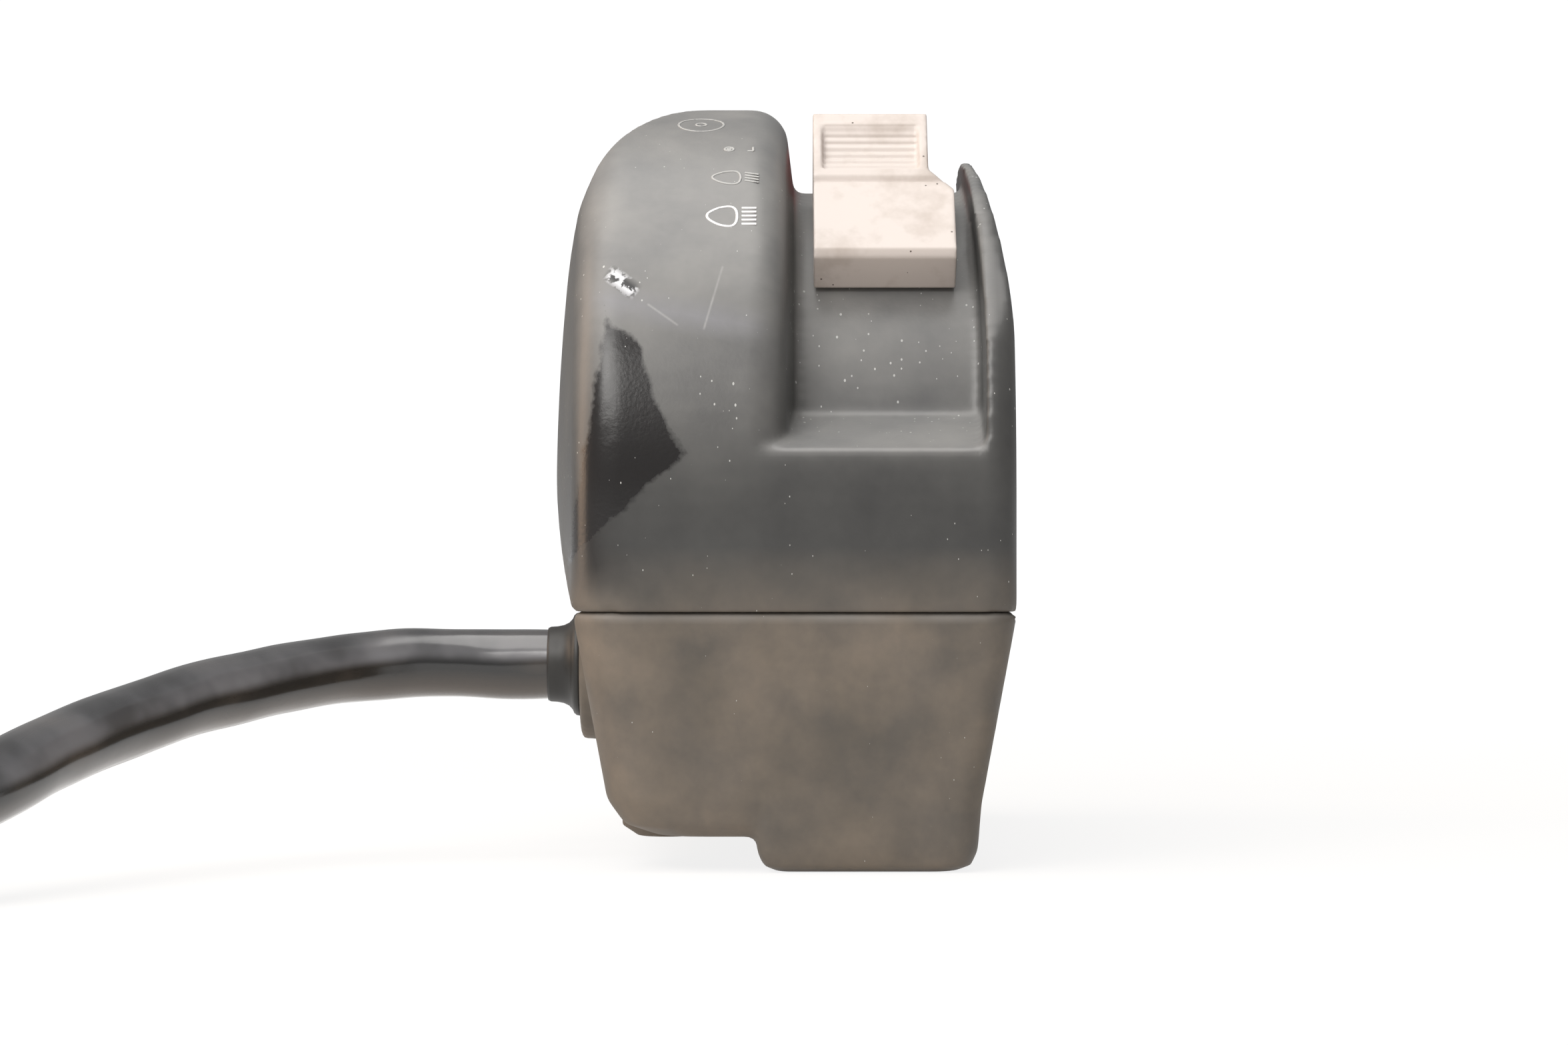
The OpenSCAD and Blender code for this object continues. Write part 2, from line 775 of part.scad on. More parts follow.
// Side outline of the lights knob: front lip, flat, groove and rising thumb scoop, each point as
// [height above the channel's floor, angle]
lights_half = 15;
lights_front = lights_mid - lights_half;
lights_back = lights_mid + lights_half;
lights_groove = lights_mid + 2;
lights_flat_h = lights_lip_h + 1.2;
groove_h = 0.7;
groove_half = 0.7;
lights_low = [lights_flat_h, lights_groove + groove_half];
lights_high = [lights_tab_h, lights_back - 1.4];
lights_outline = [[-2, lights_front], [lights_lip_h, lights_front], [lights_lip_h + 0.6, lights_front + 1],
                  [lights_flat_h - 0.1, lights_groove - groove_half],
                  [lights_flat_h - groove_h, lights_groove], lights_low, lights_high,
                  [lights_tab_h + 0.3, lights_back - 0.6], [lights_tab_h - 0.2, lights_back],
                  [-2, lights_back]];
function floor_point(spot) = drum_point(floor_r + spot[0], spot[1]);

// Thumb scoop: a shallow hollow on the rising face, inside a thin rim, with cross ribs
scoop_rim = 0.9;
scoop_depth = 1;
scoop_chord = 7.2;
scoop_r = (scoop_chord * scoop_chord / 4 + scoop_depth * scoop_depth) / (2 * scoop_depth);
scoop_low = floor_point(lights_low);
scoop_high = floor_point(lights_high);
scoop_way = unit(scoop_high - scoop_low);
scoop_out = [-scoop_way[1], scoop_way[0]];
scoop_mid = (scoop_low + scoop_high) / 2 + (scoop_r - scoop_depth) * scoop_out;
module scoop_bar(y, z, r, faces) {
    translate([knob_left + scoop_rim, y, z])
        rotate([0, 90, 0])
            cylinder(r = r, h = lights_tab_right - knob_left - 2 * scoop_rim, $fn = faces);
}

module lights_ribs() {
    rib_count = 9;
    rib_r = 0.28;
    swing = asin(scoop_chord / 2 / scoop_r) - 4;
    for (i = [0 : rib_count - 1]) {
        angle = swing * (1 - 2 * pow(1 - i / (rib_count - 1), 1.3));
        spot = scoop_mid + scoop_r * (sin(angle) * scoop_way - cos(angle) * scoop_out);
        scoop_bar(spot[0], spot[1], rib_r, 16);
    }
}

module knob_stem(mid) {
    arc_block(mid - stem_half, mid + stem_half, stem_foot_r, knob_r + 1, stem_left, stem_right);
}

module lights_knob() {
    step_z = drum_z + floor_r - 1.2;
    tab_z = step_z + 2.1;
    color(beige) {
        difference() {
            intersection() {
                along_x(knob_left, lights_right)
                    polygon([for (spot = lights_outline) floor_point(spot)]);
                along_y(-reach, reach)
                    polygon([[knob_left, 0], [lights_right, 0], [lights_right, step_z],
                             [lights_tab_right, tab_z], [lights_tab_right, reach], [knob_left, reach]]);
            }
            translate([-reach, 0, drum_z]) rotate([0, 90, 0]) cylinder(r = knob_r, h = 2 * reach);
            scoop_bar(scoop_mid[0], scoop_mid[1], scoop_r, 96);
        }
        lights_ribs();
        knob_stem(lights_mid);
    }
}

// Side outline of the engine-stop knob: a low block with a ribbed ridge across its middle, each point
// of one half as [height above the channel's floor, angle from the middle]
stop_half = 12;
stop_outline = [[-2, stop_half], [stop_lip_h, stop_half], [stop_lip_h + 0.6, stop_half - 1.2],
                [stop_lip_h + 0.8, 5], [stop_ridge_h - 0.1, 2.4]];
module stop_side() {
    last = len(stop_outline) - 1;
    polygon(concat([for (spot = stop_outline) floor_point([spot[0], stop_mid - spot[1]])],
                   [floor_point([stop_ridge_h, stop_mid])],
                   [for (i = [last : -1 : 0])
                    floor_point([stop_outline[i][0], stop_mid + stop_outline[i][1]])]));
}

module stop_knob() {
    groove_r = 0.35;
    color(red) {
        difference() {
            along_x(knob_left, lights_tab_right) stop_side();
            translate([-reach, 0, drum_z]) rotate([0, 90, 0]) cylinder(r = knob_r, h = 2 * reach);
            for (i = [-2 : 2]) {
                spot = floor_point([stop_ridge_h, stop_mid + i]);
                translate([knob_left - 1, spot[0], spot[1]])
                    rotate([0, 90, 0]) cylinder(r = groove_r, h = reach, $fn = 12);
            }
        }
        knob_stem(stop_mid);
    }
}

// Moulded carrier under the channel's floor, pocketed for the knob's stem and the detent
module carrier(mid) {
    color("#d8d2c4")
        difference() {
            arc_block(mid - carrier_half, mid + carrier_half, carrier_r, carrier_top_r,
                      carrier_left, carrier_right);
            arc_block(mid - stem_half - stem_gap, mid + stem_half + stem_gap,
                      stem_foot_r - stem_gap, ceiling_r, stem_left - stem_gap, stem_right + stem_gap);
            on_drum(mid, detent_x, detent_floor_r) cylinder(r = detent_hole_r, h = carrier_h + 2);
        }
}

module lights_carrier() { carrier(lights_mid); }

module stop_carrier() { carrier(stop_mid); }

// Copper bridge under the carrier
module bridge(mid) {
    color(brass)
        arc_block(mid - bridge_half, mid + bridge_half, bridge_r, carrier_r - seat_gap,
                  bridge_left, bridge_right);
}

module lights_bridge() { bridge(lights_mid); }

module stop_bridge() { bridge(stop_mid); }

module detent_ball(mid) {
    color(steel) on_drum(mid, detent_x, ball_r) sphere(d = ball_d);
}

module lights_detent_ball() { detent_ball(lights_mid); }

module stop_detent_ball() { detent_ball(stop_mid); }

// Contact plate that follows the drum, with a screw hole at each end
module contact_base(posts) {
    color(phenolic)
        difference() {
            arc_block(posts[0][0], posts[1][0] + post_angle, base_r, base_top_r, base_left, base_right);
            for (post = posts)
                on_drum(post[0] + post_angle / 2, post[1], base_r - 1)
                    cylinder(d = base_screw_d + base_clear, h = base_h + 2);
        }
}

module lights_base() { contact_base(lights_posts); }

module stop_base() { contact_base(stop_posts); }

// One common rail, and one pad for each place of the slide
module fixed_contacts(mid, step) {
    color(brass) {
        arc_block(mid - step - bridge_half, mid + step + bridge_half, base_top_r + seat_gap, contact_r,
                  bridge_left, bridge_left + rail_w);
        for (place = [-1 : 1])
            arc_block(mid + place * step - pad_half, mid + place * step + pad_half,
                      base_top_r + seat_gap, contact_r, bridge_right - pad_w, bridge_right);
    }
}

module lights_contacts() { fixed_contacts(lights_mid, lights_step); }

module stop_contacts() { fixed_contacts(stop_mid, stop_step); }

module base_screws(posts) {
    head_gap = 0.2;
    color(steel)
        for (post = posts)
            on_drum(post[0] + post_angle / 2, post[1], base_r - base_head_h - head_gap) {
                cylinder(d = base_head_d, h = base_head_h);
                cylinder(d = base_screw_d, h = base_head_h + base_h + 5);
            }
}

module lights_base_screws() { base_screws(lights_posts); }

module stop_base_screws() { base_screws(stop_posts); }

// Short springs under the detent balls
module detent_spring(mid) {
    wire = 0.45;
    color(steel)
        on_drum(mid, detent_x, 0)
            tube(spring_points(1, detent_floor_r + wire / 2, ball_r - ball_d / 2 + 0.1 - wire / 2, 3),
                 wire / 2, 6);
}

module lights_detent_spring() { detent_spring(lights_mid); }

module stop_detent_spring() { detent_spring(stop_mid); }

module at_start(z) {
    translate([start_x, start_y, z]) children();
}

// Domed push button on a stem, grooved for its retaining ring
module start_button() {
    crown_r = 15;
    groove_gap = 0.1;
    color(yellow) {
        intersection() {
            at_start(cap_z) cylinder(d = start_d, h = start_top_z - cap_z);
            at_start(start_top_z - crown_r) sphere(r = crown_r, $fn = 96);
        }
        difference() {
            at_start(contact_disc_z + contact_disc_h) cylinder(r = stem_r, h = cap_z - contact_disc_z);
            at_start(clip_z - groove_gap)
                difference() {
                    cylinder(r = stem_r + 1, h = clip_h + 2 * groove_gap);
                    translate([0, 0, -1]) cylinder(r = clip_in_r - seat_gap, h = clip_h + 3);
                }
        }
    }
}

// Open retaining ring under the well's floor
module start_clip() {
    color(steel)
        difference() {
            at_start(clip_z) cylinder(r = clip_out_r, h = clip_h);
            at_start(clip_z - 1) cylinder(r = clip_in_r, h = clip_h + 2);
            at_start(clip_z - 1)
                translate([0, -clip_in_r * 0.8, 0]) cube([reach, clip_in_r * 1.6, clip_h + 2]);
        }
}

module start_contact() {
    color(brass) at_start(contact_disc_z) cylinder(r = disc_r, h = contact_disc_h);
}

module start_spring() {
    wire = 0.8;
    color(steel)
        at_start(0)
            tube(spring_points(4.2, well_floor_z + wire / 2, cap_z - wire / 2, 5), wire / 2, 6);
}

// Contact plate under the well, with an ear for its screw
module start_base() {
    color(phenolic)
        difference() {
            union() {
                at_start(start_post_z - base_h) cylinder(r = well_r + well_wall, h = base_h);
                translate([start_ear_x, start_y, start_post_z - base_h])
                    cylinder(r = start_ear_r, h = base_h);
            }
            translate([start_ear_x, start_y, 0]) cylinder(d = base_screw_d + base_clear, h = reach);
        }
}

module start_contacts() {
    color(brass)
        for (side = [-1, 1])
            translate([start_x + side * stud_spread, start_y, start_post_z])
                cylinder(r = stud_r, h = start_contact_z - start_post_z);
}

module start_base_screw() {
    color(steel)
        translate([start_ear_x, start_y, start_post_z - base_h - base_head_h]) {
            cylinder(d = base_head_d, h = base_head_h);
            cylinder(d = base_screw_d, h = base_head_h + base_h + 6);
        }
}

module inner_wires() {
    color("#7a2f2a")
        for (route = wire_routes) tube(route, wire_d / 2, 6);
}

// Rubber grommet: thin outer flange with a flared boot, neck through the wall, inner collar
module cable_grommet() {
    flange_r = 5;
    flange_h = 0.8;
    boot_l = 2.4;
    boot_foot_r = 4.4;
    boot_tip_r = cable_r + 0.3;
    color(rubber)
        translate([seat_x, cable_y, cable_z])
            rotate([0, 90, 0])
                difference() {
                    union() {
                        translate([0, 0, -flange_h]) cylinder(r = flange_r, h = flange_h);
                        translate([0, 0, -flange_h - boot_l])
                            cylinder(r1 = boot_tip_r, r2 = boot_foot_r, h = boot_l);
                        cylinder(r = grommet_neck_r, h = seat_depth);
                        translate([0, 0, seat_depth]) cylinder(r = grommet_r - 0.4, h = collar_h);
                    }
                    translate([0, 0, -reach / 2]) cylinder(r = cable_r, h = reach);
                }
}

// Strap round the sleeve, with a tab screwed to the cover's rib
module cable_clip() {
    sleeve_gap = 0.05;
    color(steel)
        difference() {
            translate([clip_x - clip_w / 2, cable_y, cable_z]) {
                rotate([0, 90, 0]) cylinder(r = cable_r + clip_strap, h = clip_w);
                translate([0, 0, -clip_tab]) cube([clip_w, clip_strap, clip_tab - 1]);
            }
            translate([-reach, cable_y, cable_z])
                rotate([0, 90, 0]) cylinder(r = cable_r + sleeve_gap, h = 2 * reach);
            at_clip_screw() translate([0, 0, -5]) cylinder(d = base_screw_d + base_clear, h = 10);
        }
}

module cable_clip_screw() {
    shank_l = 3.2;
    color(steel)
        at_clip_screw() {
            translate([0, 0, -clip_head_h]) cylinder(d = clip_head_d, h = clip_head_h);
            cylinder(d = base_screw_d, h = shank_l);
        }
}

module cable_sheath() { color(rubber) tube(sheath_points, cable_r, 10); }

// Least gap between turns of the coil, on its own points
function coil_gap() =
    min([for (i = [0 : len(coil_points) - 1], j = [i + coil_rings / 2 : len(coil_points) - 1])
         norm(coil_points[i] - coil_points[j])]) - cable_d;

module cable_coil() {
    echo(least_gap_between_turns_mm = coil_gap());
    color(rubber) tube(coil_points, cable_r, 6);
}

module cable_tail() { color(rubber) tube(tail_points, cable_r, 10); }

// Tie round the two layers of the coil
module cable_tie() {
    tie_turn = 0.75;
    tie_w = 4;
    tie_h = 0.8;
    gap = 0.3;
    angle = coil_start - 360 * tie_turn;
    inner_w = cable_d + 2 * gap;
    inner_h = cable_d + coil_rise + 2 * gap;
    color("#1c1c1c")
        translate([coil_x, coil_y, coil_z - cable_r - gap])
            rotate([0, 0, angle])
                translate([coil_radius(tie_turn) - inner_w / 2, tie_w / 2, 0])
                    rotate([90, 0, 0])
                        linear_extrude(tie_w)
                            difference() {
                                translate([-tie_h, -tie_h])
                                    square([inner_w + 2 * tie_h, inner_h + 2 * tie_h]);
                                square([inner_w, inner_h]);
                            }
}

module at_connector() {
    translate([connector_x, connector_y, connector_z]) children();
}

// Stands a shape at the middle of each cell
module at_cells() {
    for (col = [-1 : 1], row = [-0.5, 0.5])
        translate([col * cell_pitch, connector_l - cell_depth, row * cell_pitch]) children();
}

// Multi-way plug: a block with a rear collar, a latch on top and small cells in its face
module connector_housing() {
    latch_w = 6;
    latch_l = 12;
    latch_y = 8;
    latch_h = 1.4;
    nose_l = 2;
    nose_h = 2.4;
    color("#d9d4c8")
        at_connector()
            difference() {
                union() {
                    translate([-connector_w / 2, block_y, -connector_h / 2])
                        cube([connector_w, connector_l - block_y, connector_h]);
                    rotate([-90, 0, 0]) cylinder(r = cable_r + collar_wall, h = collar_l);
                    translate([-latch_w / 2, latch_y, connector_h / 2 - eps]) {
                        cube([latch_w, latch_l, latch_h]);
                        translate([0, latch_l - nose_l, 0]) cube([latch_w, nose_l, nose_h]);
                    }
                }
                at_cells() translate([-cell_w / 2, 0, -cell_w / 2]) cube([cell_w, cell_depth + 1, cell_w]);
                translate([-connector_w / 2 - 1, lock_y, -lock_h / 2]) cube([lock_t + 1, lock_l, lock_h]);
            }
}

module connector_terminals() {
    blade_w = 2;
    blade_h = 1;
    blade_short = 3;
    color(brass)
        at_connector()
            at_cells()
                translate([-blade_w / 2, 0, -blade_h / 2])
                    cube([blade_w, cell_depth - blade_short, blade_h]);
}

module connector_lock() {
    color("#8a2b25")
        at_connector() translate([-connector_w / 2, lock_y, -lock_h / 2]) cube([lock_t, lock_l, lock_h]);
}

rear_housing();
front_cover();
clamp_screws();
screw_inserts();
lights_knob();
lights_carrier();
lights_bridge();
lights_detent_ball();
lights_detent_spring();
lights_base();
lights_contacts();
lights_base_screws();
stop_knob();
stop_carrier();
stop_bridge();
stop_detent_ball();
stop_detent_spring();
stop_base();
stop_contacts();
stop_base_screws();
start_button();
start_clip();
start_contact();
start_spring();
start_base();
start_contacts();
start_base_screw();
inner_wires();
cable_grommet();
cable_clip();
cable_clip_screw();
cable_sheath();
cable_coil();
cable_tail();
cable_tie();
connector_housing();
connector_terminals();
connector_lock();
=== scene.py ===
import math

import bmesh
import bpy
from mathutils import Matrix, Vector, noise


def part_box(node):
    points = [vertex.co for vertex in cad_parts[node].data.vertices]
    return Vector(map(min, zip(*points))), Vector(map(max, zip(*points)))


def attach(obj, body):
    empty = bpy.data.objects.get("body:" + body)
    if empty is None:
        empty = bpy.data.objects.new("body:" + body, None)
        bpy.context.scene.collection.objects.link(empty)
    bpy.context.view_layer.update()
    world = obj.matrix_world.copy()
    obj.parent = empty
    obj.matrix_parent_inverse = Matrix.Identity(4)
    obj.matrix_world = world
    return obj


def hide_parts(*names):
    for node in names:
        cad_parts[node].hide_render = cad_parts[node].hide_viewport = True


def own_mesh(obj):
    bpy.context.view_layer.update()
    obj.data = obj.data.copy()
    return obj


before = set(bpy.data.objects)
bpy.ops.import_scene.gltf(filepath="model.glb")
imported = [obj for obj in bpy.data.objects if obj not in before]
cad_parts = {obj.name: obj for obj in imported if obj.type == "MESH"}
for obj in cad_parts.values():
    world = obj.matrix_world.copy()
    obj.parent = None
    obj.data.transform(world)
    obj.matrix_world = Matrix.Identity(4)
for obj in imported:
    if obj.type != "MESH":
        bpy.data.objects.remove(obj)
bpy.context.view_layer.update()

scene = bpy.context.scene
scene.view_settings.view_transform = "Standard"
MM = 0.001

# Camera: a long lens at the height of the housing's waist, square to the sky side, as for a
# catalogue picture taken close to the floor.
PHOTO_WIDTH = 2352
PHOTO_FOCAL = 6232
SENSOR = 36.0
CAMERA_PLACE = (-0.6, -419, 8.2)
camera_data = bpy.data.cameras.new("camera")
camera_data.sensor_fit = "HORIZONTAL"
camera_data.sensor_width = SENSOR
camera_data.lens = PHOTO_FOCAL / PHOTO_WIDTH * SENSOR
camera_data.clip_start = 10 * MM
camera = bpy.data.objects.new("camera", camera_data)
camera.location = Vector(CAMERA_PLACE) * MM
camera.rotation_euler = (math.radians(90), 0, 0)
scene.collection.objects.link(camera)
scene.camera = camera

# Lead: the switch's wires in a soft black vinyl sleeve, pulled through the grommet. It droops to the
# floor, and the length that isn't in use is wound in a two-layer coil under a cable tie. NEXT is the
# share of a turn that gives the coil's direction at its ends.
LEAD_RADIUS = 3.3 * MM
COIL_MIDDLE = Vector((-115, -61, -19.5)) * MM
COIL_OUT, COIL_IN, COIL_RISE = 37 * MM, 29 * MM, 7.8 * MM
COIL_START = -54
COIL_TURNS, LAYER_TURNS, CLIMB_TURNS = 2.5, 1, 0.5
COIL_RINGS = 24
NEXT = 0.01
WELD = 0.002 * MM


def coil_point(turn):
    """Place on the coil: one turn winds in, half a turn climbs, one turn winds out."""
    angle = math.radians(COIL_START - 360 * turn)
    climb = min(max((turn - LAYER_TURNS) / CLIMB_TURNS, 0), 1)
    inward = min(turn, LAYER_TURNS) - max(turn - LAYER_TURNS - CLIMB_TURNS, 0)
    radius = COIL_OUT - (COIL_OUT - COIL_IN) * inward / LAYER_TURNS
    rise = COIL_RISE * (1 - math.cos(math.pi * climb)) / 2
    return COIL_MIDDLE + Vector((radius * math.cos(angle), radius * math.sin(angle), rise))


coil = [coil_point(ring / COIL_RINGS) for ring in range(int(COIL_TURNS * COIL_RINGS) + 1)]
coil_in = (coil_point(NEXT) - coil_point(0)).normalized() * 2 * LEAD_RADIUS
coil_out = (coil_point(COIL_TURNS) - coil_point(COIL_TURNS - NEXT)).normalized() * 2 * LEAD_RADIUS
lead_way = [(-9, -17, -5.5), (-18, -17, -5.5), (-27, -17, -5.5), (-32.5, -17.5, -5.4), (-38.5, -19.5, -5.4),
            (-45, -24.5, -6), (-51.5, -32.5, -7.2), (-57.5, -41.5, -8.9), (-63, -52, -11.1),
            (-67, -62.5, -13.4), (-71.3, -71, -15.9), (-76.5, -78, -18.2)]
tail_way = [(-120.2, -18.4, -12.8), (-115.9, -12.2, -14.2), (-113.2, -5, -15.7), (-112.2, 1, -16.4),
            (-112, 5.9, -16.5), (-112, 12.5, -16.5)]
lead_points = [Vector(point) * MM for point in lead_way]
lead_points += [coil[0] - 2 * coil_in, coil[0] - coil_in]
lead_points += coil
lead_points += [coil[-1] + coil_out, coil[-1] + 2 * coil_out]
lead_points += [Vector(point) * MM for point in tail_way]


def frozen(form):
    """The finished mesh of a curve, or of an object with its modifiers."""
    return bpy.data.meshes.new_from_object(form.evaluated_get(bpy.context.evaluated_depsgraph_get()))


def welded(mesh, name):
    """A copy of a mesh with its doubled points joined, so that it is one closed skin."""
    work = bmesh.new()
    work.from_mesh(mesh)
    bmesh.ops.remove_doubles(work, verts=work.verts, dist=WELD)
    copy = bpy.data.meshes.new(name)
    work.to_mesh(copy)
    work.free()
    return copy


lead_curve = bpy.data.curves.new("lead", "CURVE")
lead_curve.dimensions = "3D"
lead_spline = lead_curve.splines.new("BEZIER")
lead_spline.bezier_points.add(len(lead_points) - 1)
for knot, point in zip(lead_spline.bezier_points, lead_points):
    knot.co = point
    knot.handle_left_type = knot.handle_right_type = "AUTO"
lead_curve.bevel_depth = LEAD_RADIUS
lead_curve.bevel_resolution = 8
lead_curve.resolution_u = 8
lead_curve.use_fill_caps = True
lead_form = bpy.data.objects.new("lead_form", lead_curve)
scene.collection.objects.link(lead_form)
lead_mesh = welded(frozen(lead_form), "lead")
bpy.data.objects.remove(lead_form)

# The wires inside press long, uneven swellings into the sleeve.
SWELL, SWELL_LENGTH = 0.22 * MM, 7 * MM
for point in lead_mesh.vertices:
    point.co += point.normal * SWELL * noise.noise(point.co / SWELL_LENGTH)
lead = bpy.data.objects.new("lead", lead_mesh)
scene.collection.objects.link(lead)
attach(lead, "housing")
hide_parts("cable_sheath", "cable_coil", "cable_tail")


def linear(code):
    """An sRGB hex colour as linear red, green, blue and alpha."""
    parts = [int(code[place:place + 2], 16) / 255 for place in (1, 3, 5)]
    return [part / 12.92 if part <= 0.04045 else ((part + 0.055) / 1.055) ** 2.4 for part in parts] + [1.0]


def add(tree, kind, inputs, **settings):
    """Adds a shader node. Each input is a value, a socket, or a node whose first output is linked.
    A Mix node has its inputs by number: 0 is the share, 2 and 3 are values, 6 and 7 are colours."""
    node = tree.nodes.new("ShaderNode" + kind)
    for name, value in settings.items():
        setattr(node, name, value)
    for name, value in inputs.items():
        if isinstance(value, bpy.types.Node):
            value = value.outputs[0]
        if isinstance(value, bpy.types.NodeSocket):
            tree.links.new(value, node.inputs[name])
        else:
            node.inputs[name].default_value = value
    return node


def finish_named(name):
    """A new material with its tree, its shader and the piece's own coordinates."""
    finish = bpy.data.materials.new(name)
    finish.use_nodes = True
    tree = finish.node_tree
    return finish, tree, tree.nodes["Principled BSDF"], add(tree, "TexCoord", {}).outputs["Object"]


# Plasticised PVC, extruded: near black, with an oily skin that gives a crisp highlight. A grey painted
# highlight lies in patches on its upper flank and fades towards the crown, dust lies in clouds, and the
# underside has a painted brown floor reflection.
vinyl, tree, shader, place = finish_named("extruded_vinyl")
clouds = add(tree, "TexNoise", {"Vector": place, "Scale": 1000 / 9, "Detail": 3})
dust = add(tree, "MapRange", {"Value": clouds, "From Min": 0.45, "From Max": 0.8, "To Max": 0.4},
           interpolation_type="SMOOTHSTEP")
facing = add(tree, "SeparateXYZ", {"Vector": add(tree, "NewGeometry", {}).outputs["Normal"]})
# Painted reflection: the underside is browned as though the floor reflected warm light onto it.
painted_floor_reflection = add(tree, "MapRange", {"Value": facing.outputs["Z"], "From Min": -0.15, "From Max": -0.75,
                               "To Max": 0.8})
browned = add(tree, "Math", {0: dust, 1: painted_floor_reflection}, operation="MAXIMUM")
tone = add(tree, "Mix", {0: browned, 6: linear("#232323"), 7: linear("#5f564e")}, data_type="RGBA")
# Painted highlight: a grey band on the upper flank, fading at the crown and broken into patches by the
# clouds.
highlight_rise = add(tree, "MapRange", {"Value": facing.outputs["Z"], "From Min": 0.0, "From Max": 0.3,
                               "To Max": 0.85}, interpolation_type="SMOOTHSTEP")
highlight_crown_fade = add(tree, "MapRange", {"Value": facing.outputs["Z"], "From Min": 0.35, "From Max": 0.95,
                               "To Min": 1.0, "To Max": 0.3})
highlight_flank = add(tree, "Math", {0: highlight_rise, 1: highlight_crown_fade}, operation="MULTIPLY")
highlight_patches = add(tree, "MapRange", {"Value": clouds, "From Min": 0.3, "From Max": 0.65, "To Min": 0.35},
             interpolation_type="SMOOTHSTEP")
painted_highlight = add(tree, "Math", {0: highlight_flank, 1: highlight_patches}, operation="MULTIPLY")
tone = add(tree, "Mix", {0: painted_highlight, 6: tone.outputs[2], 7: linear("#7c7c80")}, data_type="RGBA")
tree.links.new(tone.outputs[2], shader.inputs["Base Color"])
gloss = add(tree, "MapRange", {"Value": clouds, "To Min": 0.14, "To Max": 0.26})
tree.links.new(gloss.outputs[0], shader.inputs["Roughness"])
creases = add(tree, "TexNoise", {"Vector": place, "Scale": 1000 / 2.2, "Detail": 2})
wrinkles = add(tree, "Bump", {"Height": creases, "Strength": 0.12, "Distance": 0.2 * MM})
tree.links.new(wrinkles.outputs[0], shader.inputs["Normal"])
shader.inputs["IOR"].default_value = 1.54
shader.inputs["Coat Weight"].default_value = 0.5
shader.inputs["Coat Roughness"].default_value = 0.12
lead_mesh.materials.clear()
lead_mesh.materials.append(vinyl)
lead_mesh.shade_smooth()

# Rear housing: a drum-shaped half shell, injection moulded in black glass-filled nylon. Its thumb
# channel, ribs and bosses come out of one mould, so no edge of it is sharp.
HOUSING_VOXEL = 0.45 * MM
MOST_FACES = 190000


def moulded(node, voxel, rounds, body):
    """A soft-edged copy of a CAD node: welded, remeshed in small even faces and smoothed in rounds."""
    piece = bpy.data.objects.new(node + "_moulding", welded(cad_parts[node].data, node))
    scene.collection.objects.link(piece)
    even = piece.modifiers.new("even_faces", "REMESH")
    even.mode = "VOXEL"
    even.voxel_size = voxel
    soft = piece.modifiers.new("soft_edges", "SMOOTH")
    soft.factor = 0.5
    soft.iterations = rounds
    piece.data = frozen(piece)
    piece.modifiers.clear()
    triangles = 2 * len(piece.data.polygons)
    if triangles > MOST_FACES:
        fewer = piece.modifiers.new("fewer_faces", "DECIMATE")
        fewer.ratio = MOST_FACES / triangles
        piece.data = frozen(piece)
        piece.modifiers.clear()
    piece.data.materials.clear()
    piece.data.shade_smooth()
    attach(piece, body)
    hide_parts(node)
    return piece


rear = moulded("rear_housing", HOUSING_VOXEL, rounds=6, body="housing")

# Glass-filled nylon, moulded and weathered: black with a fine grain, lighter where it faces the sky, partly
# sun-faded and partly a painted sheen, grey-brown towards the bottom, flecked where fibres show, and black
# and glossier in one patch.
DRUM_RADIUS, DRUM_Z = 39.6, 10
nylon, tree, shader, place = finish_named("weathered_nylon")
spot = add(tree, "SeparateXYZ", {"Vector": place})
clouds = add(tree, "TexNoise", {"Vector": place, "Scale": 1000 / 9, "Detail": 4, "Roughness": 0.6})
chalk = add(tree, "MapRange", {"Value": clouds, "From Min": 0.3, "From Max": 0.7})
grey = add(tree, "Mix", {0: chalk, 6: linear("#3e3e3e"), 7: linear("#4b4b4a")}, data_type="RGBA")
# Painted sheen: surfaces facing the sky are lighter, partly from real sun-fading and partly as a painted
# sheen of the overhead light.
sun_faded_and_sheen = add(tree, "Mix", {0: chalk, 6: linear("#747474"), 7: linear("#8b8a88")}, data_type="RGBA")
facing = add(tree, "SeparateXYZ", {"Vector": add(tree, "NewGeometry", {}).outputs["Normal"]})
skyward = add(tree, "MapRange", {"Value": facing.outputs["Z"], "From Min": 0.0, "From Max": 0.6})
# The right rim keeps less of that lightening, as painted shade on its side away from the light.
rim_shade = add(tree, "MapRange", {"Value": spot.outputs["X"], "From Min": 17.5 * MM, "From Max": 19.2 * MM,
                             "To Min": 1, "To Max": 0.25})
skyward = add(tree, "Math", {0: skyward, 1: rim_shade}, operation="MULTIPLY")
grey = add(tree, "Mix", {0: skyward, 6: grey.outputs[2], 7: sun_faded_and_sheen.outputs[2]}, data_type="RGBA")
# Grey-brown towards the bottom, in stained clouds.
low = add(tree, "MapRange", {"Value": spot.outputs["Z"], "From Min": 6 * MM, "From Max": -2 * MM})
stains = add(tree, "TexNoise", {"Vector": place, "Scale": 1000 / 8, "Detail": 5, "Roughness": 0.62})
stain = add(tree, "MapRange", {"Value": stains, "From Min": 0.32, "From Max": 0.66, "To Min": 0.45})
browned = add(tree, "Math", {0: low, 1: stain}, operation="MULTIPLY")
lower_brown = add(tree, "Mix", {0: chalk, 6: linear("#6c645a"), 7: linear("#82776b")}, data_type="RGBA")
tone = add(tree, "Mix", {0: browned, 6: grey.outputs[2], 7: lower_brown.outputs[2]}, data_type="RGBA")

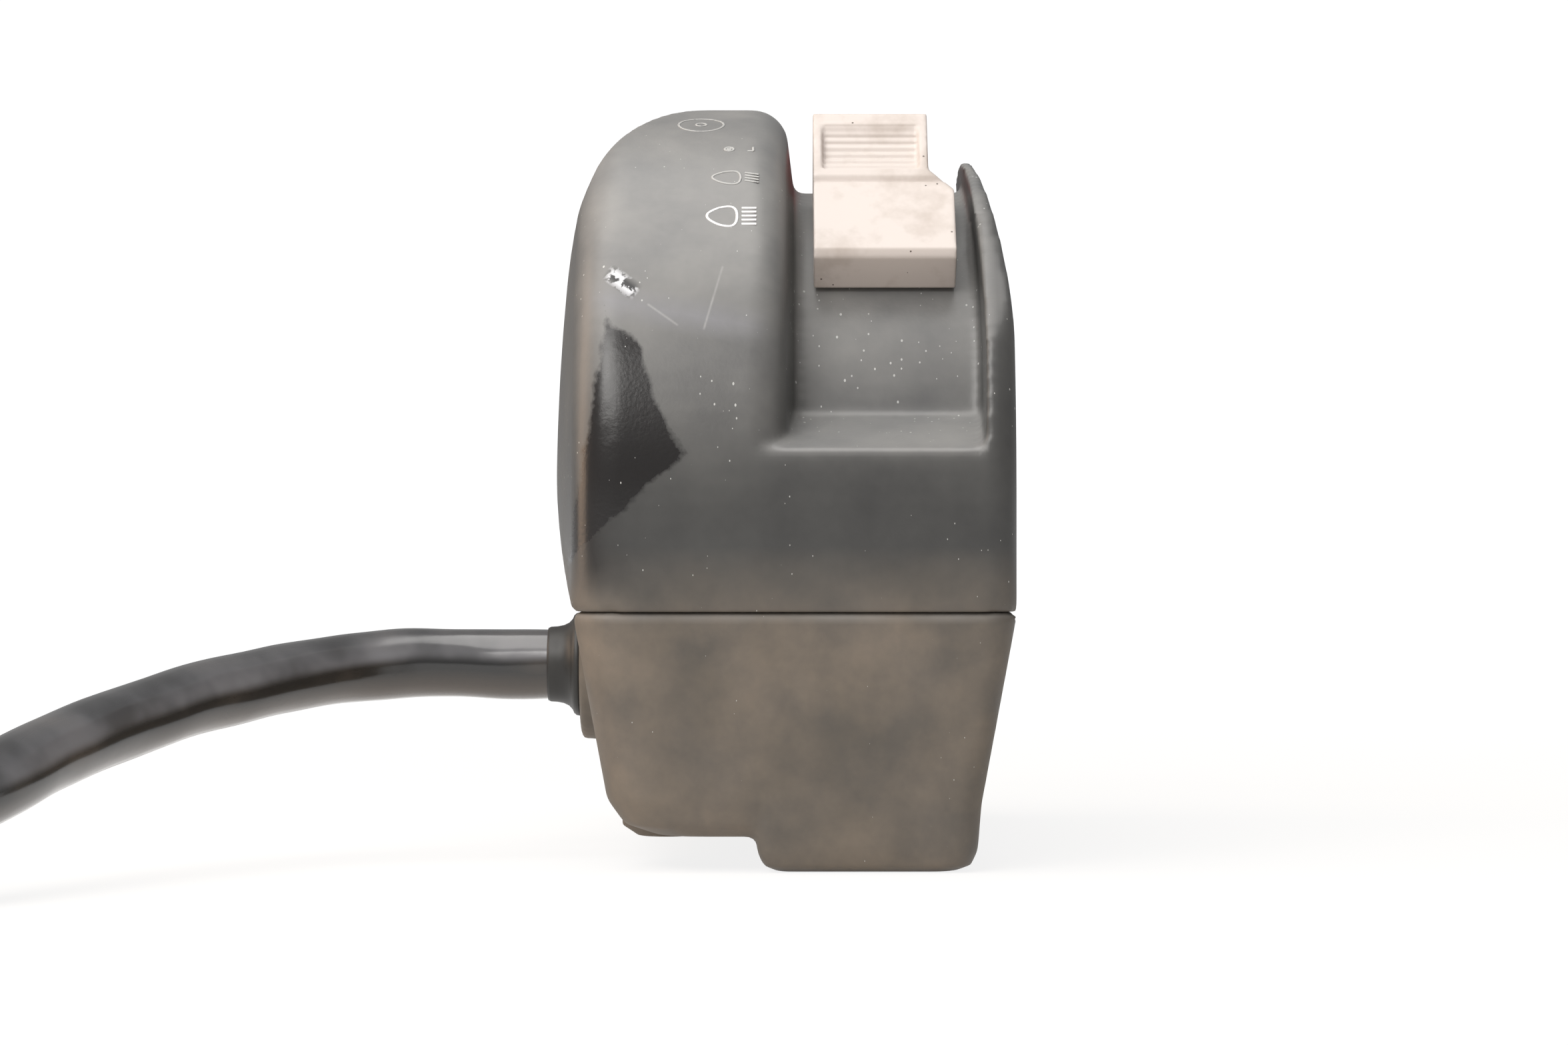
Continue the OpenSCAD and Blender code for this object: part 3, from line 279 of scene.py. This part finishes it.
# The black patch is cut out by straight edges, each given by its outward direction and its distance
# in millimetres: left and bottom edges, a tall part under a slanted top, and a point to the right.
ragged = add(tree, "TexNoise", {"Vector": place, "Scale": 1000 / 1.8, "Detail": 4, "Roughness": 0.65})
waver = add(tree, "MapRange", {"Value": ragged, "To Min": -0.9 * MM, "To Max": 0.9 * MM})
edges = []
for way, distance in [((-0.986, 0, 0.164), 21.1), ((0.688, 0, -0.725), -17.3), ((0.969, 0, 0.246), -7.3),
                      ((0.382, 0, 0.924), 17.9), ((0.863, 0, 0.504), -1.1)]:
    along = add(tree, "VectorMath", {0: place, 1: way}, operation="DOT_PRODUCT")
    edges.append(add(tree, "Math", {0: along.outputs["Value"], 1: distance * MM}, operation="SUBTRACT"))
tall = add(tree, "Math", {0: edges[2], 1: edges[3]}, operation="MAXIMUM")
form = add(tree, "Math", {0: tall, 1: edges[4]}, operation="MINIMUM")
form = add(tree, "Math", {0: form, 1: edges[0]}, operation="MAXIMUM")
form = add(tree, "Math", {0: form, 1: edges[1]}, operation="MAXIMUM")
form = add(tree, "Math", {0: form, 1: waver}, operation="ADD")
inside = add(tree, "MapRange", {"Value": form, "From Min": 0.25 * MM, "From Max": -0.25 * MM})
front = add(tree, "MapRange", {"Value": spot.outputs["Y"], "From Min": -20 * MM, "From Max": -28 * MM})
patch = add(tree, "Math", {0: inside, 1: front}, operation="MULTIPLY")


def streak(start, end, width, soft):
    """A mask along a line on the sky side, from one x and z to another, all in millimetres."""
    way = Vector((end[0] - start[0], 0, end[1] - start[1]))
    half = way.length / 2
    way.normalize()
    middle = Vector((start[0] + end[0], 0, start[1] + end[1])) / 2
    mask = front.outputs[0]
    for axis, limit in [(way, half), (Vector((-way.z, 0, way.x)), width / 2)]:
        along = add(tree, "VectorMath", {0: place, 1: axis}, operation="DOT_PRODUCT")
        off = add(tree, "Math", {0: along.outputs["Value"], 1: axis.dot(middle) * MM}, operation="SUBTRACT")
        off = add(tree, "Math", {0: off}, operation="ABSOLUTE")
        edge = add(tree, "MapRange", {"Value": off, "From Min": (limit + soft) * MM,
                                      "From Max": (limit - soft) * MM})
        mask = add(tree, "Math", {0: mask, 1: edge}, operation="MULTIPLY").outputs[0]
    return mask


# A pale smear runs across from the patch, two scratches cross it, and flakes lift off at one chip.
smear = add(tree, "Math", {0: streak((-18, 29), (-3, 26.2), 1.2, 1.4), 1: stain}, operation="MULTIPLY")
tone = add(tree, "Mix", {0: smear, 6: tone.outputs[2], 7: linear("#85858a")}, data_type="RGBA")
for start, end in [((-6.3, 32), (-8, 26)), ((-13.2, 28.4), (-10.4, 26.4))]:
    scratch = add(tree, "Math", {0: streak(start, end, 0.12, 0.1), 1: ragged}, operation="MULTIPLY")
    tone = add(tree, "Mix", {0: scratch, 6: tone.outputs[2], 7: linear("#b0b0ae")}, data_type="RGBA")
flakes = add(tree, "TexNoise", {"Vector": place, "Scale": 1000 / 0.7, "Detail": 3})
flake = add(tree, "MapRange", {"Value": flakes, "From Min": 0.47, "From Max": 0.53})
chip = streak((-16.8, 31.4), (-14.4, 29.6), 1.2, 0.35)
tone = add(tree, "Mix", {0: chip, 6: tone.outputs[2], 7: add(tree, "Mix", {
    0: flake, 6: linear("#2b2b2c"), 7: linear("#e4e5ea")}, data_type="RGBA").outputs[2]}, data_type="RGBA")
# The dark patch runs on downward along the left edge.
patch_tail = add(tree, "Math", {0: streak((-19, 10), (-17.5, 2.5), 3.4, 1.8), 1: 0.8}, operation="MULTIPLY")
patch = add(tree, "Math", {0: patch, 1: patch_tail}, operation="MAXIMUM")
tone = add(tree, "Mix", {0: patch, 6: tone.outputs[2], 7: linear("#211f1f")}, data_type="RGBA")

# Flecks are a quarter of a millimetre long, slanted, and close together on the channel's floor. They are
# drawn coarser than real glass fibres so that they show.
slant = add(tree, "Mapping", {"Vector": place, "Rotation": (0, math.radians(18), 0), "Scale": (1.7, 1.7, 1)})
grit = add(tree, "TexVoronoi", {"Vector": slant, "Scale": 1000 / 1.4})
height = add(tree, "Math", {0: spot.outputs["Z"], 1: DRUM_Z * MM}, operation="SUBTRACT")
axle = add(tree, "CombineXYZ", {"Y": spot.outputs["Y"], "Z": height})
reach = add(tree, "VectorMath", {0: axle}, operation="LENGTH")
sunk = add(tree, "MapRange", {"Value": reach.outputs["Value"], "From Min": (DRUM_RADIUS - 1) * MM,
                              "From Max": (DRUM_RADIUS - 4) * MM, "To Max": 0.045})
drift = add(tree, "TexNoise", {"Vector": place, "Scale": 1000 / 6, "Detail": 2})
swept = add(tree, "MapRange", {"Value": drift, "From Min": 0.36, "From Max": 0.75, "To Max": 0.12})
for first, last in [((-0.5, 0.4), (0, 1)), ((18.2, 18.7), (1, 0))]:
    within = add(tree, "MapRange", {"Value": spot.outputs["X"], "From Min": first[0] * MM,
                                    "From Max": first[1] * MM, "To Min": last[0], "To Max": last[1]})
    sunk = add(tree, "Math", {0: sunk, 1: within}, operation="MULTIPLY")
clean = add(tree, "MapRange", {"Value": low, "To Min": 1, "To Max": 0.45})
fleck_size = add(tree, "Math", {0: swept, 1: sunk}, operation="ADD")
fleck_size = add(tree, "Math", {0: fleck_size, 1: clean}, operation="MULTIPLY")
fleck = add(tree, "Math", {0: grit.outputs["Distance"], 1: fleck_size}, operation="LESS_THAN")
tone = add(tree, "Mix", {0: fleck, 6: tone.outputs[2], 7: linear("#bdbdbb")}, data_type="RGBA")
tree.links.new(tone.outputs[2], shader.inputs["Base Color"])
dull = add(tree, "MapRange", {"Value": clouds, "From Min": 0.3, "From Max": 0.7,
                              "To Min": 0.32, "To Max": 0.44})
dull = add(tree, "Mix", {0: browned, 2: dull, 3: 0.7})
gloss = add(tree, "Mix", {0: patch, 2: dull, 3: 0.25})
tree.links.new(gloss.outputs[0], shader.inputs["Roughness"])

# The mould's grain is about a tenth of a millimetre, drawn coarser than real so that it shows.
grain = add(tree, "TexNoise", {"Vector": place, "Scale": 1000 / 0.35, "Detail": 2})
pits = add(tree, "Bump", {"Height": grain, "Strength": 0.12, "Distance": 0.1 * MM})
tree.links.new(pits.outputs[0], shader.inputs["Normal"])
rear.data.materials.append(nylon)

# Printed marks: main beam, dipped beam, off and engine stop, pad printed in white ink beside the
# channel. Thumbs have worn the upper ones nearly away.
STROKE = 0.14
INK_PROUD = 0.05


def printed(name, strokes, angle, x, ink):
    """Flat strokes in millimetres, made a thin mesh and wrapped on the drum at an angle in degrees."""
    lines = bpy.data.curves.new(name, "CURVE")
    lines.dimensions = "3D"
    lines.bevel_depth = STROKE * MM
    lines.bevel_resolution = 1
    lines.use_fill_caps = True
    for closed, points in strokes:
        line = lines.splines.new("POLY")
        line.points.add(len(points) - 1)
        line.use_cyclic_u = closed
        for knot, (across, along) in zip(line.points, points):
            knot.co = (across * MM, along * MM, 0, 1)
    form = bpy.data.objects.new(name + "_form", lines)
    scene.collection.objects.link(form)
    mesh = frozen(form)
    bpy.data.objects.remove(form)
    for point in mesh.vertices:
        across, along, height = point.co / MM
        turn = math.radians(angle) + along / DRUM_RADIUS
        radius = DRUM_RADIUS + height * INK_PROUD / STROKE
        point.co = Vector((x + across, -radius * math.cos(turn), DRUM_Z + radius * math.sin(turn))) * MM
    mesh.materials.clear()
    mesh.materials.append(ink)
    mark = bpy.data.objects.new(name, mesh)
    scene.collection.objects.link(mark)
    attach(mark, "housing")


def rounded(points, steps):
    """A closed outline whose corners are cut again and again until they are round."""
    for step in range(steps):
        cut = []
        for (x0, y0), (x1, y1) in zip(points, points[1:] + points[:1]):
            cut += [(0.75 * x0 + 0.25 * x1, 0.75 * y0 + 0.25 * y1),
                    (0.25 * x0 + 0.75 * x1, 0.25 * y0 + 0.75 * y1)]
        points = cut
    return points


def scaled(points, wide, tall):
    """Points moved out from the middle, by one share across and one along."""
    return [(wide * across, tall * along) for across, along in points]


# Pad-printing ink: flat white, worn in small spots down to the nylon.
inks = {}
for ink_name, worn_from, code in [("pad_print_ink", 0.65, "#f6f6f8"),
                                  ("worn_pad_print_ink", 0.56, "#b2b2b0")]:
    ink, tree, shader, place = finish_named(ink_name)
    spots = add(tree, "TexNoise", {"Vector": place, "Scale": 1000 / 0.5, "Detail": 3})
    gone = add(tree, "MapRange", {"Value": spots, "From Min": worn_from, "From Max": worn_from + 0.12})
    tone = add(tree, "Mix", {0: gone, 6: linear(code), 7: linear("#909090")}, data_type="RGBA")
    tree.links.new(tone.outputs[2], shader.inputs["Base Color"])
    shader.inputs["Roughness"].default_value = 0.38
    inks[ink_name] = ink
lamp = rounded([(1.3, 1.35), (1.3, -1.45), (-0.4, -1.35), (-1.9, 0), (-0.4, 1.25)], 3)
beam = [(False, [(1.72, 1.1 - 0.55 * row), (3.1, 1.1 - 0.55 * row)]) for row in range(5)]
printed("main_beam_mark", [(True, lamp)] + beam, angle=43, x=-6.3, ink=inks["pad_print_ink"])
dip = [(False, [(1.72, 1.0 - 0.55 * row), (3.1, 0.6 - 0.55 * row)]) for row in range(4)]
printed("dipped_beam_mark", [(closed, scaled(stroke, 0.95, 0.8)) for closed, stroke in [(True, lamp)] + dip],
        angle=51.5, x=-5.95, ink=inks["worn_pad_print_ink"])
ring = [(math.cos(math.radians(15 * step)), math.sin(math.radians(15 * step))) for step in range(24)]
printed("off_mark", [(True, scaled(ring, 0.42, 0.42)), (True, scaled(ring, 0.16, 0.16)),
                     (False, [(1.75, -0.4), (2.3, -0.4)]), (False, [(2.3, -0.4), (2.3, 0.4)])],
        angle=59.3, x=-5.85, ink=inks["worn_pad_print_ink"])
printed("stop_mark", [(True, scaled(ring, 2.2, 2.2)), (True, scaled(ring, 0.5, 0.5))],
        angle=69, x=-8.65, ink=inks["worn_pad_print_ink"])

# Inserts, contacts and terminals: small brass pieces. The inserts are turned and pressed into the rear
# housing's bosses, and the contacts and terminals are stamped from strip and held in their plates and cells.


def mottled(name, size, detail, codes, dullness, metallic=0):
    """A material of two colours in clouds of a size in millimetres, duller where the second one shows."""
    finish, tree, shader, place = finish_named(name)
    clouds = add(tree, "TexNoise", {"Vector": place, "Scale": 1000 / size, "Detail": detail})
    tone = add(tree, "Mix", {0: clouds, 6: linear(codes[0]), 7: linear(codes[1])}, data_type="RGBA")
    tree.links.new(tone.outputs[2], shader.inputs["Base Color"])
    gloss = add(tree, "MapRange", {"Value": clouds, "To Min": dullness[0], "To Max": dullness[1]})
    tree.links.new(gloss.outputs[0], shader.inputs["Roughness"])
    shader.inputs["Metallic"].default_value = metallic
    return finish


# Brass, left bare: warm yellow, with dull brown tarnish in clouds.
brass = mottled("tarnished_brass", 3, 3, ("#c9a661", "#8f6f3c"), (0.22, 0.5), metallic=1)
for name in ("screw_inserts", "lights_bridge", "lights_contacts", "stop_bridge", "stop_contacts",
             "start_contact", "start_contacts", "connector_terminals"):
    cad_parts[name].material_slots[0].material = brass

# Contact plates: punched from sheet and screwed to bosses inside the drum. Phenolic paper: brown, with
# a low shine, and streaked along the sheet by fibres that are drawn coarser than real so that they show.
phenolic, tree, shader, place = finish_named("phenolic_paper_sheet")
fibre = add(tree, "TexNoise", {"Vector": add(tree, "Mapping", {"Vector": place, "Scale": (1, 6, 6)}),
                               "Scale": 1000 / 2, "Detail": 4})
tone = add(tree, "Mix", {0: fibre, 6: linear("#6f4626"), 7: linear("#8c6038")}, data_type="RGBA")
tree.links.new(tone.outputs[2], shader.inputs["Base Color"])
shader.inputs["Roughness"].default_value = 0.4
for name in ("lights_base", "stop_base", "start_base"):
    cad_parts[name].material_slots[0].material = phenolic

# Slide carriers: the inner halves of the slides, moulded so that they run dry in the drum. Natural nylon:
# milky white and a little waxy, with faint yellowing.
milky = mottled("natural_nylon", 4, 3, ("#ddd8ca", "#c9c2b0"), (0.3, 0.5))
for name in ("lights_carrier", "stop_carrier"):
    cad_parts[name].material_slots[0].material = milky

# Screws, springs, balls and clips: headed, wound and stamped steel, plated with zinc against rust. Zinc
# plate: a cool grey metal with patches of duller bloom.
SCREW_VOXEL = 0.16 * MM
steel = mottled("zinc_plated_steel", 2, 4, ("#c3c5c6", "#95958f"), (0.2, 0.45), metallic=1)
for name in ("lights_detent_ball", "lights_detent_spring", "lights_base_screws", "stop_detent_ball",
             "stop_detent_spring", "stop_base_screws", "start_clip", "start_base_screw",
             "cable_clip", "cable_clip_screw"):
    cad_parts[name].material_slots[0].material = steel

# The clamp screws' heads show under the cover. Road dirt: a matt brown crust, with metal in its cracks.
dirty, tree, shader, place = finish_named("road_dirty_steel")
crust = add(tree, "TexNoise", {"Vector": place, "Scale": 1000 / 1.5, "Detail": 5, "Roughness": 0.65})
cover_up = add(tree, "MapRange", {"Value": crust, "From Min": 0.18, "From Max": 0.4})
tone = add(tree, "Mix", {0: cover_up, 6: linear("#8d8b86"), 7: linear("#6f665c")}, data_type="RGBA")
tree.links.new(tone.outputs[2], shader.inputs["Base Color"])
bare = add(tree, "MapRange", {"Value": cover_up, "To Min": 1, "To Max": 0})
tree.links.new(bare.outputs[0], shader.inputs["Metallic"])
gloss = add(tree, "MapRange", {"Value": cover_up, "To Min": 0.35, "To Max": 0.8})
tree.links.new(gloss.outputs[0], shader.inputs["Roughness"])
clamp_screws = moulded("clamp_screws", SCREW_VOXEL, rounds=5, body="housing")
clamp_screws.data.materials.append(dirty)

# Knobs: thumb slides moulded in acetal, beige for the lights and red for the engine stop behind it.
# Each has a ribbed scoop on top, and a stem through the channel's floor to its carrier.
KNOB_VOXEL = 0.16 * MM
STOP_DRAFT = 0.45 * MM

# Acetal, moulded: dense and waxy, with thumb grime in clouds and a few dark specks. Its grain is
# drawn coarser than real so that it shows.
acetals = {}
for acetal_name, code, soiled in [("beige_acetal", "#d4cac4", "#b2a59b"),
                                  ("red_acetal", "#9c2019", "#741b16"),
                                  ("yellow_acetal", "#d9a520", "#a8801f")]:
    acetal, tree, shader, place = finish_named(acetal_name)
    clouds = add(tree, "TexNoise", {"Vector": place, "Scale": 1000 / 5, "Detail": 4, "Roughness": 0.6})
    soil = add(tree, "MapRange", {"Value": clouds, "From Min": 0.5, "From Max": 0.85})
    tone = add(tree, "Mix", {0: soil, 6: linear(code), 7: linear(soiled)}, data_type="RGBA")
    specks = add(tree, "TexVoronoi", {"Vector": place, "Scale": 1000 / 2})
    speck = add(tree, "Math", {0: specks.outputs["Distance"], 1: 0.05}, operation="LESS_THAN")
    tone = add(tree, "Mix", {0: speck, 6: tone.outputs[2], 7: linear("#5c5048")}, data_type="RGBA")
    tree.links.new(tone.outputs[2], shader.inputs["Base Color"])
    gloss = add(tree, "MapRange", {"Value": clouds, "To Min": 0.34, "To Max": 0.5})
    tree.links.new(gloss.outputs[0], shader.inputs["Roughness"])
    shader.inputs["IOR"].default_value = 1.48
    grain = add(tree, "TexNoise", {"Vector": place, "Scale": 1000 / 0.5, "Detail": 2})
    pits = add(tree, "Bump", {"Height": grain, "Strength": 0.08, "Distance": 0.1 * MM})
    tree.links.new(pits.outputs[0], shader.inputs["Normal"])
    acetals[acetal_name] = acetal
lights_knob = moulded("lights_knob", KNOB_VOXEL, rounds=10, body="lights_slider")
lights_knob.data.materials.append(acetals["beige_acetal"])
stop_knob = moulded("stop_knob", KNOB_VOXEL, rounds=7, body="stop_slider")
stop_knob.data.materials.append(acetals["red_acetal"])

# The stop knob's sides are drafted a little, so that it keeps clear of the lights knob's edge.
low_x, high_x = (corner[0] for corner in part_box("stop_knob"))
for point in stop_knob.data.vertices:
    point.co.x += STOP_DRAFT * ((low_x + high_x) / 2 - point.co.x) / ((high_x - low_x) / 2)

# Start button: a yellow acetal plunger in a round well, held by a spring ring. Its return spring is
# wound from steel wire and stays fixed to the housing at one length.
start_button = moulded("start_button", KNOB_VOXEL, rounds=4, body="start_plunger")
start_button.data.materials.append(acetals["yellow_acetal"])
spring_mesh = welded(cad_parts["start_spring"].data, "start_return_spring")
spring_mesh.materials.append(steel)
spring_mesh.shade_smooth()
start_spring = bpy.data.objects.new("start_return_spring", spring_mesh)
scene.collection.objects.link(start_spring)
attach(start_spring, "housing")
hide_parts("start_spring")
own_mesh(start_spring)

# Wires: stranded copper, soldered to the contact plates and led through the cover to the lead's sleeve.
# Wire PVC: plain strong colours with a soft shine, changing across the housing so that the wires differ.
WIRE_CODES = ["#7a2f2a", "#23415f", "#c9b23a", "#2f5a38", "#1d1d1d", "#8c4a1e", "#d8d4cc"]
insulation, tree, shader, place = finish_named("wire_pvc")
across = add(tree, "SeparateXYZ", {"Vector": place})
share = add(tree, "MapRange", {"Value": across.outputs["X"], "From Min": -20 * MM, "From Max": 20 * MM})
colours = add(tree, "ValToRGB", {"Fac": share})
colours.color_ramp.interpolation = "CONSTANT"
for step, code in enumerate(WIRE_CODES):
    if step > 1:
        colours.color_ramp.elements.new(step / len(WIRE_CODES))
    colours.color_ramp.elements[step].position = step / len(WIRE_CODES)
    colours.color_ramp.elements[step].color = linear(code)
tree.links.new(colours.outputs["Color"], shader.inputs["Base Color"])
skin = add(tree, "TexNoise", {"Vector": place, "Scale": 1000 / 1.5, "Detail": 2})
gloss = add(tree, "MapRange", {"Value": skin, "To Min": 0.3, "To Max": 0.45})
tree.links.new(gloss.outputs[0], shader.inputs["Roughness"])
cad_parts["inner_wires"].material_slots[0].material = insulation

# Grommet: a soft black rubber collar, pressed in the wall. Its boot hugs the sleeve and flares into
# a thin flange, and a wider collar inside holds it. The profile is in millimetres, along and outward.
GROMMET_PROFILE = [(0, 3.32), (0, 3.5), (0.25, 3.62), (0.9, 3.66), (1.5, 3.78), (2.0, 4.02), (2.35, 4.4),
                   (2.5, 4.75), (2.75, 4.95), (3.05, 5.0), (3.2, 4.9), (3.2, 4.8), (6.8, 4.8), (6.8, 5.2),
                   (8.6, 5.2), (8.6, 3.32)]

# Rubber, moulded: black and dull, with a grey bloom in clouds.
rubber = mottled("moulded_rubber", 3, 3, ("#1f1f1f", "#3a3937"), (0.35, 0.55))
low_corner, high_corner = (Vector(corner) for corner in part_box("cable_grommet"))
middle = (low_corner + high_corner) / 2
collar = bmesh.new()
profile = [collar.verts.new((low_corner.x + along * MM, middle.y, middle.z + radius * MM))
           for along, radius in GROMMET_PROFILE]
outline = [collar.edges.new(pair) for pair in zip(profile, profile[1:] + profile[:1])]
bmesh.ops.spin(collar, geom=profile + outline, cent=middle, axis=(1, 0, 0), angle=math.radians(360),
               steps=64, use_merge=True)
bmesh.ops.remove_doubles(collar, verts=collar.verts, dist=WELD)
bmesh.ops.recalc_face_normals(collar, faces=collar.faces)
grommet_mesh = bpy.data.meshes.new("grommet")
collar.to_mesh(grommet_mesh)
collar.free()
grommet_mesh.shade_smooth()
grommet = bpy.data.objects.new("grommet", grommet_mesh)
scene.collection.objects.link(grommet)
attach(grommet, "housing")
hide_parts("cable_grommet")
grommet.data.materials.append(rubber)

# Front cover: the tapered lower half, moulded in the same nylon, grey-brown towards the bottom. It stands on
# a stepped foot, and two long screws pull it against the bar.
cover = moulded("front_cover", HOUSING_VOXEL, rounds=5, body="housing")
cover.data.materials.append(nylon)

# Tie: a moulded strap with a ratchet head, pulled tight round both layers of the coil. Black nylon: nearly
# black, with a smooth low shine.
TIE_VOXEL = 0.16 * MM
strap = mottled("black_nylon_strap", 0.8, 2, ("#161616", "#2a2a2a"), (0.3, 0.45))
tie = moulded("cable_tie", TIE_VOXEL, rounds=3, body="housing")
tie.data.materials.append(strap)

# Connector: a plug moulded in natural nylon, with six cells for the terminals and a latch on top. A red
# acetal lock is pushed in at its side and keeps the terminals in their cells.
PLUG_VOXEL = 0.2 * MM
plug = moulded("connector_housing", PLUG_VOXEL, rounds=3, body="housing")
plug.data.materials.append(milky)
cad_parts["connector_lock"].material_slots[0].material = acetals["red_acetal"]

# Floor and light: a sweep of white paper under one wide overhead soft box, with a small soft box in
# front and a warm one at the left.
FLOOR_Z = -24 * MM
FLOOR_HALF = 3
floor_data = bpy.data.meshes.new("floor")
floor_mesh = bmesh.new()
bmesh.ops.create_grid(floor_mesh, x_segments=1, y_segments=1, size=FLOOR_HALF)
bmesh.ops.translate(floor_mesh, verts=floor_mesh.verts, vec=(0, 0, FLOOR_Z))
floor_mesh.to_mesh(floor_data)
floor_mesh.free()
floor = bpy.data.objects.new("floor", floor_data)
scene.collection.objects.link(floor)

# Matt white paper: it takes the object's shadow near by and fades into the white background further off.
paper = bpy.data.materials.new("matt_white_paper")
paper.use_nodes = True
tree = paper.node_tree
tree.nodes.clear()
path = add(tree, "LightPath", {})
seen = add(tree, "Math", {0: path.outputs["Is Camera Ray"], 1: path.outputs["Is Glossy Ray"]},
           operation="MAXIMUM")
seen = add(tree, "Math", {0: seen, 1: path.outputs["Is Transmission Ray"]}, operation="MAXIMUM")
away = add(tree, "VectorMath", {0: add(tree, "TexCoord", {}).outputs["Object"]}, operation="LENGTH")
fade = add(tree, "MapRange", {"Value": away.outputs["Value"], "From Min": 110 * MM, "From Max": 380 * MM,
                              "To Min": 0.8, "To Max": 1})
share = add(tree, "Math", {0: seen, 1: fade}, operation="MULTIPLY")
matt = add(tree, "BsdfDiffuse", {"Color": linear("#e8e4df")})
white = add(tree, "Emission", {"Strength": 1.05})
mixed = add(tree, "MixShader", {0: share, 1: matt, 2: white})
add(tree, "OutputMaterial", {"Surface": mixed})
floor_data.materials.append(paper)

# The studio is white to the camera and dim as a light, so that the soft boxes model the forms.
world = bpy.data.worlds.new("studio")
scene.world = world
world.use_nodes = True
tree = world.node_tree
path = add(tree, "LightPath", {})
seen = add(tree, "Math", {0: path.outputs["Is Camera Ray"], 1: path.outputs["Is Transmission Ray"]},
           operation="MAXIMUM")
strength = add(tree, "MapRange", {"Value": seen, "To Min": 0.3, "To Max": 1.05})
tree.nodes["Background"].inputs["Color"].default_value = (1, 1, 1, 1)
tree.links.new(strength.outputs[0], tree.nodes["Background"].inputs["Strength"])


def soft_box(name, place, aim, width, height, watts, code):
    """A rectangular lamp at a place in millimetres, turned to face another."""
    data = bpy.data.lights.new(name, "AREA")
    data.shape = "RECTANGLE"
    data.size, data.size_y = width * MM, height * MM
    data.energy = watts
    data.color = linear(code)[:3]
    lamp = bpy.data.objects.new(name, data)
    lamp.location = Vector(place) * MM
    lamp.rotation_euler = (Vector(aim) - Vector(place)).to_track_quat("-Z", "Y").to_euler()
    scene.collection.objects.link(lamp)


soft_box("overhead_box", (-130, -110, 440), (-10, -20, 15), 420, 680, 2.5, "#fffdfa")
soft_box("front_box", (-220, -430, 320), (-25, -20, 5), 340, 200, 1.2, "#fffdfa")
soft_box("side_box", (-420, 20, 140), (-10, 0, 15), 200, 300, 0.7, "#ffdcbc")
